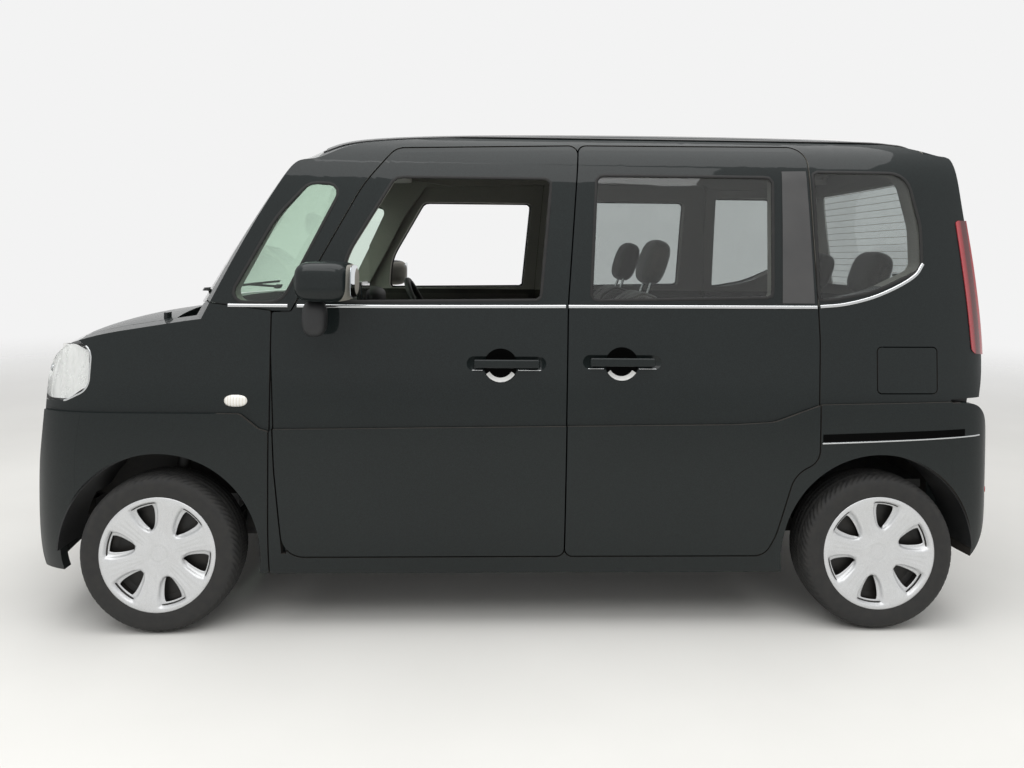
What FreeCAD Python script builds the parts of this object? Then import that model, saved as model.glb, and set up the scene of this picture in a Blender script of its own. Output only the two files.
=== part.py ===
import FreeCAD, Part
import functools
import math
import os

# Tall one-box kei car with sliding rear doors, right-hand drive, as it parks.
# Frame: +X to the tail, +Y to the car's right, +Z up. The origin is on the
# ground, under the middle of the overall length.

V = FreeCAD.Vector
UP = V(0, 0, 1)
ACROSS = V(0, 1, 0)
ALONG = V(1, 0, 0)
LEFT = -1
RIGHT = 1
SIDES = {"left": LEFT, "right": RIGHT}

# Overall sizes
LENGTH = 3395
WIDTH = 1475
HEIGHT = 1785
WHEELBASE = 2460
FRONT_OVERHANG = 505

# Wheels
TYRE_RADIUS = 269
TYRE_WIDTH = 155
RIM_RADIUS = 181
FRONT_TRACK = 1295
REAR_TRACK = 1300
ARCH_RADIUS = 342

# Walls and gaps
PAD_PROUD = 13
SKIN_THICKNESS = 24
DOOR_FLANGE = 28
HINGE_FLANGE = 8
DOOR_THICKNESS = 60
WALL_THICKNESS = 95
ROOF_THICKNESS = 40
BONNET_THICKNESS = 26
BUMPER_THICKNESS = 30
GLASS_THICKNESS = 5
GLASS_RECESS = 3
PANEL_GAP = 5
SEAT_GAP = 0.3
STEP_INSET = 16

FRONT_END = -LENGTH / 2
REAR_END = LENGTH / 2
FRONT_AXLE = FRONT_END + FRONT_OVERHANG
REAR_AXLE = FRONT_AXLE + WHEELBASE
SIDE = WIDTH / 2 - PAD_PROUD
SILL_BOTTOM = 200
FLOOR_TOP = 262
BELT = 1121
GLASS_TOP = HEIGHT - 228
SEAM_TOP = HEIGHT - 104
BEAD_FRONT = 746
BEAD_DOOR = 706
BEAD_REAR = 776
A_BASE = FRONT_AXLE + 435
B_SEAM = FRONT_AXLE + 1371
C_SEAM = REAR_AXLE - 211
COWL = FRONT_AXLE + 15
BONNET_HALF = 592
TAILGATE_HALF = 585
BUMPER_TOP_REAR = 786

# Side shape: how far the side leans in at each height, and how far it
# turns in at each station along the car.
LEAN = [
    (130, 62),
    (200, 34),
    (300, 13),
    (480, 3),
    (650, 0),
    (860, 4),
    (1000, 9),
    (BELT, 18),
    (1300, 39),
    (HEIGHT - 285, 68),
    (HEIGHT - 185, 88),
    (HEIGHT - 125, 118),
    (HEIGHT - 80, 166),
    (HEIGHT - 45, 240),
    (HEIGHT + 10, 300),
]
TURN_IN = [
    (FRONT_END - 40, 300),
    (FRONT_END + 5, 215),
    (FRONT_END + 40, 138),
    (FRONT_END + 75, 95),
    (FRONT_END + 120, 62),
    (FRONT_END + 185, 35),
    (FRONT_END + 270, 17),
    (FRONT_AXLE - 20, 6),
    (FRONT_AXLE + 400, 0),
    (0, 0),
    (REAR_AXLE - 400, 0),
    (REAR_AXLE, 3),
    (REAR_END - 240, 8),
    (REAR_END - 130, 19),
    (REAR_END - 70, 34),
    (REAR_END - 35, 56),
    (REAR_END - 8, 95),
    (REAR_END + 10, 150),
    (REAR_END + 30, 240),
]

# Centre-line shapes, front to back
NOSE_LINE = [
    (FRONT_END + 60, 150),
    (FRONT_END + 24, 200),
    (FRONT_END + 6, 290),
    (FRONT_END, 420),
    (FRONT_END + 2, 560),
    (FRONT_END + 14, 680),
    (FRONT_END + 26, 790),
    (FRONT_END + 38, 890),
    (FRONT_END + 60, 950),
    (FRONT_END + 100, 992),
    (FRONT_END + 165, 1020),
    (FRONT_END + 260, 1044),
    (FRONT_END + 380, 1064),
    (FRONT_AXLE + 30, 1088),
    (FRONT_AXLE + 250, 1112),
    (FRONT_AXLE + 520, 1135),
]
CABIN_LINE = [
    (FRONT_AXLE - 110, 985),
    (FRONT_AXLE - 32, BELT - 11),
    (FRONT_AXLE + 112, 1335),
    (FRONT_AXLE + 266, 1550),
    (FRONT_AXLE + 330, HEIGHT - 158),
    (FRONT_AXLE + 400, HEIGHT - 97),
    (FRONT_AXLE + 500, HEIGHT - 50),
    (FRONT_AXLE + 640, HEIGHT - 27),
    (FRONT_AXLE + 850, HEIGHT - 15),
    (0, HEIGHT - 6),
    (REAR_AXLE - 700, HEIGHT - 2),
    (REAR_AXLE - 150, HEIGHT - 6),
    (REAR_END - 330, HEIGHT - 16),
    (REAR_END - 200, HEIGHT - 36),
    (REAR_END - 140, HEIGHT - 62),
    (REAR_END - 105, HEIGHT - 115),
    (REAR_END - 91, HEIGHT - 190),
    (REAR_END - 80, 1480),
    (REAR_END - 62, 1330),
    (REAR_END - 45, 1180),
    (REAR_END - 30, 1040),
    (REAR_END - 23, 940),
    (REAR_END - 30, 850),
    (REAR_END - 46, BUMPER_TOP_REAR - 10),
    (REAR_END - 50, 640),
    (REAR_END - 50, 400),
    (REAR_END - 60, 200),
]
TAIL_BUMPER_LINE = [
    (REAR_END - 250, BUMPER_TOP_REAR + 6),
    (REAR_END - 120, BUMPER_TOP_REAR + 2),
    (REAR_END - 52, BUMPER_TOP_REAR - 12),
    (REAR_END - 18, BUMPER_TOP_REAR - 52),
    (REAR_END - 3, BUMPER_TOP_REAR - 120),
    (REAR_END, 580),
    (REAR_END - 2, 440),
    (REAR_END - 14, 350),
    (REAR_END - 44, 280),
    (REAR_END - 110, 215),
]
NOSE_BOW = 0.050
WINDSCREEN_BOW = 0.160
TAIL_BOW = 0.012
NOSE_CROWN = 34
ROOF_CROWN = 110
TAIL_CROWN = 6

# Poles of y and of y squared over the left half, for a curve of degree two
ACROSS_POLES = [(-1, 1), (-0.5, 0), (0, 0)]
MASTER_HALF = 800


def spline(points):
    curve = Part.BSplineCurve()
    curve.interpolate(points)
    return curve


def inset_line(line, depth):
    """Moves each point of a line to its right-hand side by a depth."""
    moved = []
    for i, (x, z) in enumerate(line):
        before = line[max(i - 1, 0)]
        after = line[min(i + 1, len(line) - 1)]
        dx = after[0] - before[0]
        dz = after[1] - before[1]
        size = math.hypot(dx, dz)
        moved.append((x + depth * dz / size, z - depth * dx / size))
    return moved


def closed_solid(faces):
    shell = Part.Shell(faces)
    shell.sewShape()
    solid = Part.Solid(shell)
    if solid.Volume < 0:
        solid.reverse()
    return solid


def solid_under(line, bow, crown):
    """The left half of everything under a centre line carried across the car.

    bow(x) is how far the ends of a cross-section draw in, as a share of x,
    and crown(x, z) is how far they drop.
    """
    curve = spline([V(x, 0, z) for x, z in line])
    half = MASTER_HALF
    rows = []
    for pole in curve.getPoles():
        in_x = bow(pole.x) * pole.x * (half / SIDE) ** 2
        in_z = crown(pole.x, pole.z) * (half / SIDE) ** 2
        rows.append([V(pole.x - in_x * q, half * y, pole.z - in_z * q) for y, q in ACROSS_POLES])
    surface = Part.BSplineSurface()
    surface.buildFromPolesMultsKnots(
        rows, curve.getMultiplicities(), [3, 3], curve.getKnots(), [0, 1], False, False, 3, 2
    )
    sheet = surface.toShape()
    ends = []
    for row in (rows[0], rows[-1]):
        top = Part.BezierCurve()
        top.setPoles(row)
        low = Part.BezierCurve()
        low.setPoles([V(p.x, p.y, 0) for p in row])
        ends.append((top.toShape(), low.toShape()))
    walls = [Part.makeRuledSurface(top, low) for top, low in ends]
    caps = []
    for column in (0, 2):
        side = Part.BSplineCurve()
        side.buildFromPolesMultsKnots(
            [row[column] for row in rows], curve.getMultiplicities(), curve.getKnots(), False, 3
        )
        start = rows[0][column]
        stop = rows[-1][column]
        corners = [start, V(start.x, start.y, 0), V(stop.x, stop.y, 0), stop]
        caps.append(Part.Face(Part.Wire([side.toShape()] + Part.makePolygon(corners).Edges)))
    feet = [ends[0][1], ends[1][1]]
    for column in (0, 2):
        a = rows[0][column]
        b = rows[-1][column]
        feet.append(Part.makeLine(V(a.x, a.y, 0), V(b.x, b.y, 0)))
    floor = Part.Face(Part.Wire(Part.sortEdges(feet)[0]))
    return closed_solid([sheet, floor] + walls + caps)


def inside_left(inset):
    """The space from the car's left side to its middle plane."""
    lean = spline([V(0, depth, z) for z, depth in LEAN])
    turn = spline([V(x, depth, 0) for x, depth in TURN_IN])
    rows = []
    for p in turn.getPoles():
        rows.append([V(p.x, -(SIDE - inset - p.y - q.y), q.z) for q in lean.getPoles()])
    surface = Part.BSplineSurface()
    surface.buildFromPolesMultsKnots(
        rows,
        turn.getMultiplicities(),
        lean.getMultiplicities(),
        turn.getKnots(),
        lean.getKnots(),
        False,
        False,
        3,
        3,
    )
    left = surface.toShape()
    corners = [V(TURN_IN[i][0], 0, LEAN[j][0]) for i, j in ((0, 0), (-1, 0), (-1, -1), (0, -1))]
    middle = Part.makePolygon(corners + [corners[0]]).Edges
    ends = []
    for edge in left.Edges:
        centre = edge.CenterOfMass
        mate = min(middle, key=lambda other: (other.CenterOfMass - V(centre.x, 0, centre.z)).Length)
        ends.append(Part.makeRuledSurface(edge, mate))
    return closed_solid([left, Part.Face(Part.Wire(middle))] + ends)


def nose_bow(x):
    return NOSE_BOW


def cabin_bow(x):
    return WINDSCREEN_BOW if x < 0 else TAIL_BOW


def nose_crown(x, z):
    return NOSE_CROWN if z > 600 else 0


def cabin_crown(x, z):
    return ROOF_CROWN if z > HEIGHT - 110 else TAIL_CROWN


def no_crown(x, z):
    return 0


def rounded_wire(corners):
    """A closed side-view wire of straight runs, each corner an arc.

    A corner is (x, z, radius); the radius is the one its arc gets.
    """
    edges = []
    ends = []
    count = len(corners)
    for i, (x, z, radius) in enumerate(corners):
        here = V(x, 0, z)
        before = V(corners[i - 1][0], 0, corners[i - 1][1]) - here
        after = V(corners[(i + 1) % count][0], 0, corners[(i + 1) % count][1]) - here
        turn = before.getAngle(after)
        reach = radius / math.tan(turn / 2)
        start = here + V(before).normalize() * reach
        stop = here + V(after).normalize() * reach
        middle = (V(before).normalize() + V(after).normalize()).normalize()
        mid = here + middle * (radius / math.sin(turn / 2) - radius)
        ends.append((start, mid, stop))
    for i, (start, mid, stop) in enumerate(ends):
        edges.append(Part.Arc(start, mid, stop).toShape())
        following = ends[(i + 1) % count][0]
        if (following - stop).Length > 0.01:
            edges.append(Part.makeLine(stop, following))
    return Part.Wire(edges)


def side_prism(corners, grow=0.0, y_low=-MASTER_HALF, y_high=0):
    """A side-view outline carried across one half of the car."""
    face = Part.Face(rounded_wire(corners))
    if grow:
        face = Part.Face(face.makeOffset2D(grow).OuterWire)
    face.translate(V(0, y_low, 0))
    return face.extrude(V(0, y_high - y_low, 0))


def box(x_low, x_high, y_low, y_high, z_low, z_high):
    return Part.makeBox(x_high - x_low, y_high - y_low, z_high - z_low, V(x_low, y_low, z_low))


def mirrored(shape):
    return shape.mirror(V(0, 0, 0), ACROSS)


def both(shape):
    return Part.makeCompound([shape, mirrored(shape)])


def on_side(shape, side):
    return shape if side == LEFT else mirrored(shape)


def solids(shape, least=1000.0):
    """The shape's solids, without the slivers a cut can leave."""
    return Part.makeCompound([s for s in shape.Solids if s.Volume > least])


def cylinder(centre, axis, radius, length):
    return Part.makeCylinder(radius, length, centre, axis)


def rod(start, stop, radius):
    return Part.makeCylinder(radius, (stop - start).Length, start, stop - start)


# Side outlines, each corner as (x, z, radius)
FRONT_DOOR = [
    (FRONT_AXLE + 371, BELT - 34, 8),
    (FRONT_AXLE + 371, 960, 300),
    (FRONT_AXLE + 390, 560, 500),
    (FRONT_AXLE + 420, FLOOR_TOP, 75),
    (B_SEAM - 4, FLOOR_TOP, 26),
    (B_SEAM + 4, BELT, 1500),
    (B_SEAM + 45, SEAM_TOP - 2, 30),
    (FRONT_AXLE + 775, SEAM_TOP - 20, 60),
    (FRONT_AXLE + 665, BELT + 402, 500),
    (A_BASE, BELT - 34, 12),
]
SLIDING_DOOR = [
    (B_SEAM + 1, FLOOR_TOP, 26),
    (B_SEAM + 9, BELT, 1500),
    (B_SEAM + 50, SEAM_TOP - 2, 30),
    (C_SEAM - 16, SEAM_TOP + 4, 60),
    (C_SEAM - 10, HEIGHT - 480, 1500),
    (C_SEAM, 1000, 600),
    (C_SEAM - 6, 590, 60),
    (C_SEAM - 92, 545, 110),
    (C_SEAM - 155, 330, 220),
    (C_SEAM - 190, FLOOR_TOP, 55),
]
FRONT_WINDOW = [
    (FRONT_AXLE + 598, BELT + 2, 18),
    (B_SEAM - 88, BELT + 12, 14),
    (B_SEAM - 50, GLASS_TOP, 22),
    (FRONT_AXLE + 775, GLASS_TOP, 40),
    (FRONT_AXLE + 608, BELT + 150, 260),
]
SLIDING_WINDOW = [
    (B_SEAM + 85, BELT + 12, 18),
    (REAR_AXLE - 371, BELT + 26, 18),
    (REAR_AXLE - 355, GLASS_TOP + 14, 22),
    (B_SEAM + 108, GLASS_TOP + 14, 24),
]
FRONT_QUARTER = [
    (FRONT_AXLE + 215, BELT - 2, 34),
    (FRONT_AXLE + 402, BELT - 2, 70),
    (FRONT_AXLE + 600, HEIGHT - 255, 34),
    (FRONT_AXLE + 478, HEIGHT - 252, 60),
    (FRONT_AXLE + 370, 1410, 400),
]
REAR_QUARTER = [
    (C_SEAM + 2, HEIGHT - 192, 8),
    (REAR_END - 300, HEIGHT - 192, 75),
    (REAR_END - 262, 1400, 200),
    (REAR_END - 266, 1250, 48),
    (REAR_END - 445, 1168, 400),
    (C_SEAM + 52, 1141, 300),
    (C_SEAM + 2, 1139, 8),
]
FUEL_DOOR = [
    (REAR_END - 436, 821, 14),
    (REAR_END - 226, 821, 14),
    (REAR_END - 226, 978, 14),
    (REAR_END - 436, 978, 14),
]
HEADLAMP = [
    (FRONT_END - 40, 770, 10),
    (FRONT_END + 180, 783, 40),
    (FRONT_END + 262, 822, 60),
    (FRONT_END + 270, 950, 50),
    (FRONT_END + 215, 992, 30),
    (FRONT_END - 40, 980, 10),
]
TAIL_LAMP = [
    (REAR_END + 40, 944, 5),
    (REAR_END - 90, 958, 25),
    (REAR_END - 105, 1150, 600),
    (REAR_END - 128, 1425, 12),
    (REAR_END + 40, 1425, 5),
]
FRONT_BUMPER = [
    (FRONT_END - 60, 150, 10),
    (FRONT_AXLE - 280, 150, 10),
    (FRONT_AXLE - 280, 620, 10),
    (FRONT_AXLE - 262, BEAD_FRONT, 10),
    (FRONT_END + 190, BEAD_FRONT - 8, 20),
    (FRONT_END + 120, BEAD_FRONT + 10, 20),
    (FRONT_END - 60, BEAD_FRONT + 10, 10),
]
REAR_BUMPER = [
    (REAR_AXLE + 262, 150, 10),
    (REAR_END + 60, 150, 10),
    (REAR_END + 60, BUMPER_TOP_REAR + 20, 10),
    (REAR_AXLE + 255, BUMPER_TOP_REAR + 14, 10),
]
FRONT_PAD = [
    (FRONT_END - 60, 100, 10),
    (FRONT_AXLE + 369, 100, 10),
    (FRONT_AXLE + 369, BEAD_FRONT - 60, 10),
    (FRONT_AXLE + 335, BEAD_FRONT - 50, 30),
    (FRONT_AXLE + 270, BEAD_FRONT, 30),
    (FRONT_END - 60, BEAD_FRONT, 10),
]
DOOR_PAD = [
    (FRONT_AXLE + 371, 100, 10),
    (REAR_END + 60, 100, 10),
    (REAR_END + 60, BEAD_REAR + 20, 10),
    (C_SEAM + 5, BEAD_REAR + 6, 60),
    (C_SEAM - 160, BEAD_DOOR + 16, 150),
    (C_SEAM - 300, BEAD_DOOR + 8, 600),
    (FRONT_AXLE + 371, BEAD_DOOR - 12, 10),
]
FENDER = [
    (FRONT_END - 60, 150, 10),
    (FRONT_AXLE + 366, 150, 10),
    (FRONT_AXLE + 366, BELT - 30, 8),
    (FRONT_END - 60, 1200, 10),
]

# Pieces under and inside the body
FLOOR_THICKNESS = 30
FRONT_WELL_Y = 405
REAR_WELL_Y = 522
LINER_THICKNESS = 4
LINER_GAP = 0.3
FIREWALL_X = FRONT_AXLE + 205
FIREWALL_THICKNESS = 30
REAR_FLOOR_TOP = 470
KICK_UP_X = REAR_AXLE - 500
TAIL_INSIDE = REAR_END - 175
INSIDE_HALF = SIDE - WALL_THICKNESS
BAY_HALF = 392
TOWER_HEIGHT = 800
STRUT_TOP_IN = 95
STRUT_TOP_BACK = 30
KINGPIN_LOW = 185
KINGPIN_INSET = 62
AXLE_HEIGHT = TYRE_RADIUS
SPINDLE_RADIUS = 14
RUNNING_FIT = 0.05

# Door handles: x of the front end and of the hand's room, z of the middle line
FRONT_HANDLE = (B_SEAM - 315, B_SEAM - 224.5, 918)
SLIDING_HANDLE = (B_SEAM + 81, B_SEAM + 190.5, 925)
HANDLE_LENGTH = 222
HANDLE_HALF = 14.5
HANDLE_THICKNESS = 12
HANDLE_LEG = 24
HANDLE_SKIN = SIDE - 6
DISH_BALL = 82
DISH_DEPTH = 24
TROUGH_RADIUS = 40
TROUGH_DEPTH = 8

# Hinge lines
PIN_RADIUS = 5
BARREL_RADIUS = 10
BARREL_HALF = 20
DOOR_PIN_X = FRONT_AXLE + 424.5
DOOR_PIN_Y = -711
DOOR_PIN_HEIGHTS = (400, 640)
DOOR_SWING = [
    (272, 16), (290, 18), (330, 23), (400, 31), (560, 45), (620, 48.5),
    (695, 51), (696, 47.5), (793, 50), (960, 57), (1092, 57),
]
GATE_PIN = V(REAR_END - 192.5, 0, HEIGHT - 101)
GATE_PIN_Y = 350
GATE_SWING = [(0, 76), (100, 75), (200, 69), (280, 61), (350, 52), (430, 41), (500, 32.5), (587, 29.5)]
BONNET_PIN = V(COWL - 35, 0, 1040)
BONNET_PIN_Y = 540
BONNET_SWING = [(0, 59), (300, 50), (592, 47)]
BONNET_REAR = COWL - 62.5
BONNET_REAR_RADIUS = 3125
FLAP_PIN = V(REAR_AXLE + 12, -708, 900)
FLAP_PIN_RADIUS = 2
FLAP_THICKNESS = 8
FLAP_GAP = 4
FLAP_POCKET = 40
WIPER_LIFT = 5
WIPER_HEIGHT = 14

ROOF_FRONT = FRONT_AXLE + 520
ROOF_HALF = 540
HEADLAMP_INNER = 400
WINDSCREEN_HALF = 610
WINDSCREEN_LOW = BELT - 6
WINDSCREEN_HIGH = HEIGHT - 92
TAILGATE_LOW = 566
TAILGATE_FRONT = REAR_END - 212
TAILGATE_WINDOW_LOW = 1165
TAILGATE_WINDOW_HIGH = HEIGHT - 190
TAILGATE_WINDOW_HALF = 500
NOTCH_TOP = TAILGATE_LOW - PANEL_GAP


@functools.cache
def envelope(side_depth, top_depth):
    """The left half of the closed car, moved in at the side and the top."""
    cabin = solid_under(inset_line(CABIN_LINE, top_depth), cabin_bow, cabin_crown)
    nose = solid_under(inset_line(NOSE_LINE, top_depth), nose_bow, nose_crown)
    return cabin.fuse(nose).common(inside_left(side_depth))


def inset(depth):
    return envelope(depth, depth)


def side_inset(depth):
    return envelope(depth, 0)


def swept(profile, start, axis):
    """The round room about an axis, from (distance along, radius) pairs."""
    along = V(axis).normalize()
    rings = []
    for (low, r_low), (high, r_high) in zip(profile, profile[1:]):
        rings.append(Part.makeCone(r_low, r_high, high - low, start + along * low, along))
    return rings[0].fuse(rings[1:])


def door_swing():
    """The room that a front door's leading edge sweeps, from (height, radius) pairs."""
    rings = []
    for height, radius in DOOR_SWING:
        reach = radius / math.cos(math.radians(12))
        corners = [V(0.3 * radius, -radius, 0)]
        for turn in range(96, -97, -24):
            angle = math.radians(turn)
            corners.append(V(-math.cos(angle), -math.sin(angle), 0) * reach)
        corners.append(V(0.3 * radius, radius, 0))
        place = V(DOOR_PIN_X, DOOR_PIN_Y, height)
        rings.append(Part.makePolygon([place + corner for corner in corners + corners[:1]]))
    return Part.makeLoft(rings, True, True)


def across_swing(pin, profile):
    """The left half of what a lid's edge sweeps about a crosswise pin line."""
    return swept(profile, pin, -ACROSS)


def make_masters():
    """The forms that the body panels share, all for the left half."""
    under = box(FRONT_END - 99, REAR_END + 99, -MASTER_HALF, 0, 0, SILL_BOTTOM)
    pads = side_prism(FRONT_PAD).fuse(side_prism(DOOR_PAD))
    pad = envelope(-PAD_PROUD, 0).common(pads)
    outer = inset(0).fuse(pad).cut(under)
    arches = []
    for x, well_y in ((FRONT_AXLE, FRONT_WELL_Y), (REAR_AXLE, REAR_WELL_Y)):
        start = V(x, -MASTER_HALF, AXLE_HEIGHT)
        arches.append(cylinder(start, ACROSS, ARCH_RADIUS, MASTER_HALF - well_y))
    tail = solid_under(TAIL_BUMPER_LINE, cabin_bow, no_crown).common(inside_left(-PAD_PROUD))
    return {"outer": outer, "tail": tail, "arches": Part.makeCompound(arches)}


def whole(half):
    """Joins a left half that meets the middle plane to its mirror image."""
    return half.fuse(mirrored(half))


def panel(car, block, depth):
    """The part of the outer skin inside a block, down to a depth."""
    return car["outer"].common(block).cut(inset(depth))


def side_panel(car, block, depth):
    """The same, with the depth only taken from the side of the car."""
    return car["outer"].common(block).cut(side_inset(depth))


def barrel(pin, axis, low, high):
    """One hinge leaf's barrel on a pin line, bored to run on the pin."""
    start = pin + axis * low
    return cylinder(start, axis, BARREL_RADIUS, high - low)


def door_pins():
    return [V(DOOR_PIN_X, DOOR_PIN_Y, height) for height in DOOR_PIN_HEIGHTS]


def pin_leaf(pin, axis, plate):
    """The fixed leaf: its plate, the barrel under the moving one and the pin."""
    low = -BARREL_HALF - SEAT_GAP
    fixed = barrel(pin, axis, low - 2 * BARREL_HALF, low)
    shaft = cylinder(pin + axis * low, axis, PIN_RADIUS, -low + BARREL_HALF)
    return plate.fuse([fixed, shaft])


def bored_leaf(pin, axis, plate):
    """The moving leaf: its plate and barrel, bored for the pin."""
    turning = barrel(pin, axis, -BARREL_HALF, BARREL_HALF)
    return plate.fuse(turning).cut(pin_bore(pin, axis))


def pin_bore(pin, axis):
    return cylinder(pin - axis * 60, axis, PIN_RADIUS + RUNNING_FIT, 120)


def front_door(car):
    """A thin outer flange and a deeper body that starts behind the hinges."""
    skin = side_panel(car, side_prism(FRONT_DOOR), HINGE_FLANGE)
    hinge_side = box(A_BASE - 99, DOOR_PIN_X + 14, -MASTER_HALF, 0, 0, BELT - 20)
    flange = side_panel(car, side_prism(FRONT_DOOR).cut(hinge_side), DOOR_FLANGE)
    deep = side_prism(FRONT_DOOR, -STEP_INSET).cut(hinge_side)
    body = side_panel(car, deep, DOOR_THICKNESS)
    door = skin.fuse([flange, body]).cut(side_prism(FRONT_WINDOW)).cut(handle_room(FRONT_HANDLE))
    for pin in door_pins():
        plate = box(pin.x, pin.x + 16, pin.y - 8, pin.y + 8, pin.z - 15, pin.z + 15)
        low = pin.z - 3 * BARREL_HALF - 3
        relief = box(pin.x - 99, pin.x + 13, pin.y - 4, 0, low, pin.z - BARREL_HALF)
        relief = relief.fuse(cylinder(V(pin.x, pin.y, low), UP, BARREL_RADIUS + 3, 2 * BARREL_HALF + 3))
        door = door.cut(relief).fuse(bored_leaf(pin, UP, plate)).cut(pin_bore(pin, UP))
    return solids(door)


def sliding_door(car):
    flange = side_panel(car, side_prism(SLIDING_DOOR), SKIN_THICKNESS)
    body = side_panel(car, side_prism(SLIDING_DOOR, -STEP_INSET), DOOR_THICKNESS)
    return flange.fuse(body).cut(side_prism(SLIDING_WINDOW)).cut(handle_room(SLIDING_HANDLE))


def sliding_doors(car):
    return both(sliding_door(car))


def door_hole(corners, behind):
    """What a door needs taken out of the shell: its recess and the way in."""
    recess = side_prism(corners, PANEL_GAP).cut(side_inset(DOOR_THICKNESS + behind))
    hinge_post = box(A_BASE - 99, DOOR_PIN_X + 33, -MASTER_HALF, 0, 0, BELT - 20)
    way_in = side_prism(corners, -STEP_INSET - 18).cut(hinge_post)
    return recess.fuse(way_in)


def gate_block(front, half, low, high):
    return box(front, REAR_END + 99, -half, 0, low, high)


def windscreen_block(grow):
    return box(FRONT_END, ROOF_FRONT - 20 + grow, -WINDSCREEN_HALF - grow, 0,
               WINDSCREEN_LOW - grow, WINDSCREEN_HIGH + grow)


def lamp_block(corners, inner, grow=0.0):
    return side_prism(corners, grow, -MASTER_HALF, -inner + grow)


def body_shell(car):
    """Sills, pillars, quarters, cowl and roof rails, as one welded shell."""
    block = box(COWL - 2, REAR_END + 99, -MASTER_HALF, 0, SILL_BOTTOM, HEIGHT)
    shell = car["outer"].common(block).cut(inset(WALL_THICKNESS))
    gate = gate_block(TAILGATE_FRONT - PANEL_GAP, TAILGATE_HALF + PANEL_GAP, NOTCH_TOP, HEIGHT + 20)
    bumper_space = side_prism(REAR_BUMPER).fuse(gate_block(REAR_END - 100, TAILGATE_HALF, 150, NOTCH_TOP))
    roof_seat = box(ROOF_FRONT, TAILGATE_FRONT, -ROOF_HALF, 0, SEAM_TOP - 60, HEIGHT + 20)
    holes = [
        door_hole(FRONT_DOOR, PANEL_GAP),
        door_hole(SLIDING_DOOR, SEAT_GAP),
        side_prism(FENDER, PANEL_GAP).cut(inset(SKIN_THICKNESS + SEAT_GAP)),
        side_prism(FRONT_QUARTER),
        side_prism(REAR_QUARTER),
        bumper_space.cut(inset(BUMPER_THICKNESS + SEAT_GAP)),
        lamp_block(TAIL_LAMP, TAILGATE_HALF, SEAT_GAP).cut(inset(DOOR_THICKNESS + SEAT_GAP)),
        side_prism(FUEL_DOOR, FLAP_GAP).cut(inset(FLAP_POCKET)),
        gate.cut(inset(DOOR_THICKNESS + 2 * PANEL_GAP)),
        gate_block(TAIL_INSIDE - 90, TAILGATE_HALF - 45, TAILGATE_LOW + 40, SEAM_TOP - 40),
        roof_seat.cut(envelope(0, ROOF_THICKNESS + SEAT_GAP)),
        box(ROOF_FRONT + 60, TAILGATE_FRONT - 100, -ROOF_HALF + 30, 0, SEAM_TOP - 70, HEIGHT),
        windscreen_block(PANEL_GAP),
        door_swing(),
        across_swing(BONNET_PIN, BONNET_SWING),
        across_swing(GATE_PIN, GATE_SWING),
        car["arches"],
    ]
    for hole in holes:
        shell = shell.cut(hole)
    leaves = []
    for pin in door_pins():
        low = pin.z - 3 * BARREL_HALF
        plate = box(pin.x - 4, pin.x + 8, pin.y, pin.y + 80, low, low + 2 * BARREL_HALF - 2)
        leaves.append(pin_leaf(pin, UP, plate))
    pin = BONNET_PIN - ACROSS * BONNET_PIN_Y
    neck = fixed_plate(pin, pin.x - 6, pin.x + 6, pin.z - 50, pin.z)
    foot = fixed_plate(pin, pin.x - 6, COWL + 20, pin.z - 50, pin.z - 36)
    leaves.append(pin_leaf(pin, -ACROSS, neck.fuse(foot)))
    pin = GATE_PIN - ACROSS * GATE_PIN_Y
    neck = fixed_plate(pin, pin.x - 8, pin.x + 8, pin.z - 44, pin.z)
    foot = fixed_plate(pin, pin.x - 95, pin.x + 8, pin.z - 44, pin.z - 21)
    leaves.append(pin_leaf(pin, -ACROSS, neck.fuse(foot)))
    leaves.append(cylinder(FLAP_PIN - UP * 100, UP, FLAP_PIN_RADIUS, 200))
    for leaf in leaves:
        shell = shell.fuse(leaf)
    return solids(whole(solids(shell, 1e6)), 1e6)


def fixed_plate(pin, x_low, x_high, z_low, z_high):
    """The plate of a crosswise hinge's fixed leaf, beside the moving one."""
    y_low = pin.y + BARREL_HALF + SEAT_GAP
    return box(x_low, x_high, y_low, y_low + 2 * BARREL_HALF, z_low, z_high)


def roof_panel(car):
    """The pressed roof, let in between the side rails, with two strengthening swages."""
    block = box(ROOF_FRONT + SEAT_GAP, TAILGATE_FRONT - PANEL_GAP, -ROOF_HALF + SEAT_GAP, 0,
                SEAM_TOP - 60, HEIGHT + 20)
    roof = car["outer"].common(block).cut(envelope(0, ROOF_THICKNESS))
    return whole(roof.cut(across_swing(GATE_PIN, GATE_SWING)))


def windscreen(car):
    block = windscreen_block(PANEL_GAP - SEAT_GAP)
    return whole(envelope(0, GLASS_RECESS).common(block).cut(envelope(0, GLASS_RECESS + GLASS_THICKNESS)))


def side_glass(car):
    panes = []
    for corners in (FRONT_QUARTER, REAR_QUARTER, SLIDING_WINDOW):
        pane = envelope(GLASS_RECESS, 0).common(side_prism(corners, -SEAT_GAP))
        panes.append(pane.cut(envelope(GLASS_RECESS + GLASS_THICKNESS, 0)))
    return both(Part.makeCompound(panes))


def front_fenders(car):
    fender = panel(car, side_prism(FENDER, 0, -MASTER_HALF, -BONNET_HALF - PANEL_GAP), SKIN_THICKNESS)
    fender = fender.cut([
        side_prism(FRONT_BUMPER, SEAT_GAP),
        lamp_block(HEADLAMP, HEADLAMP_INNER, SEAT_GAP),
        windscreen_block(PANEL_GAP),
        door_swing(),
        car["arches"],
    ])
    return both(solids(fender))


def headlamps(car):
    return both(panel(car, lamp_block(HEADLAMP, HEADLAMP_INNER), DOOR_THICKNESS))


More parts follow.
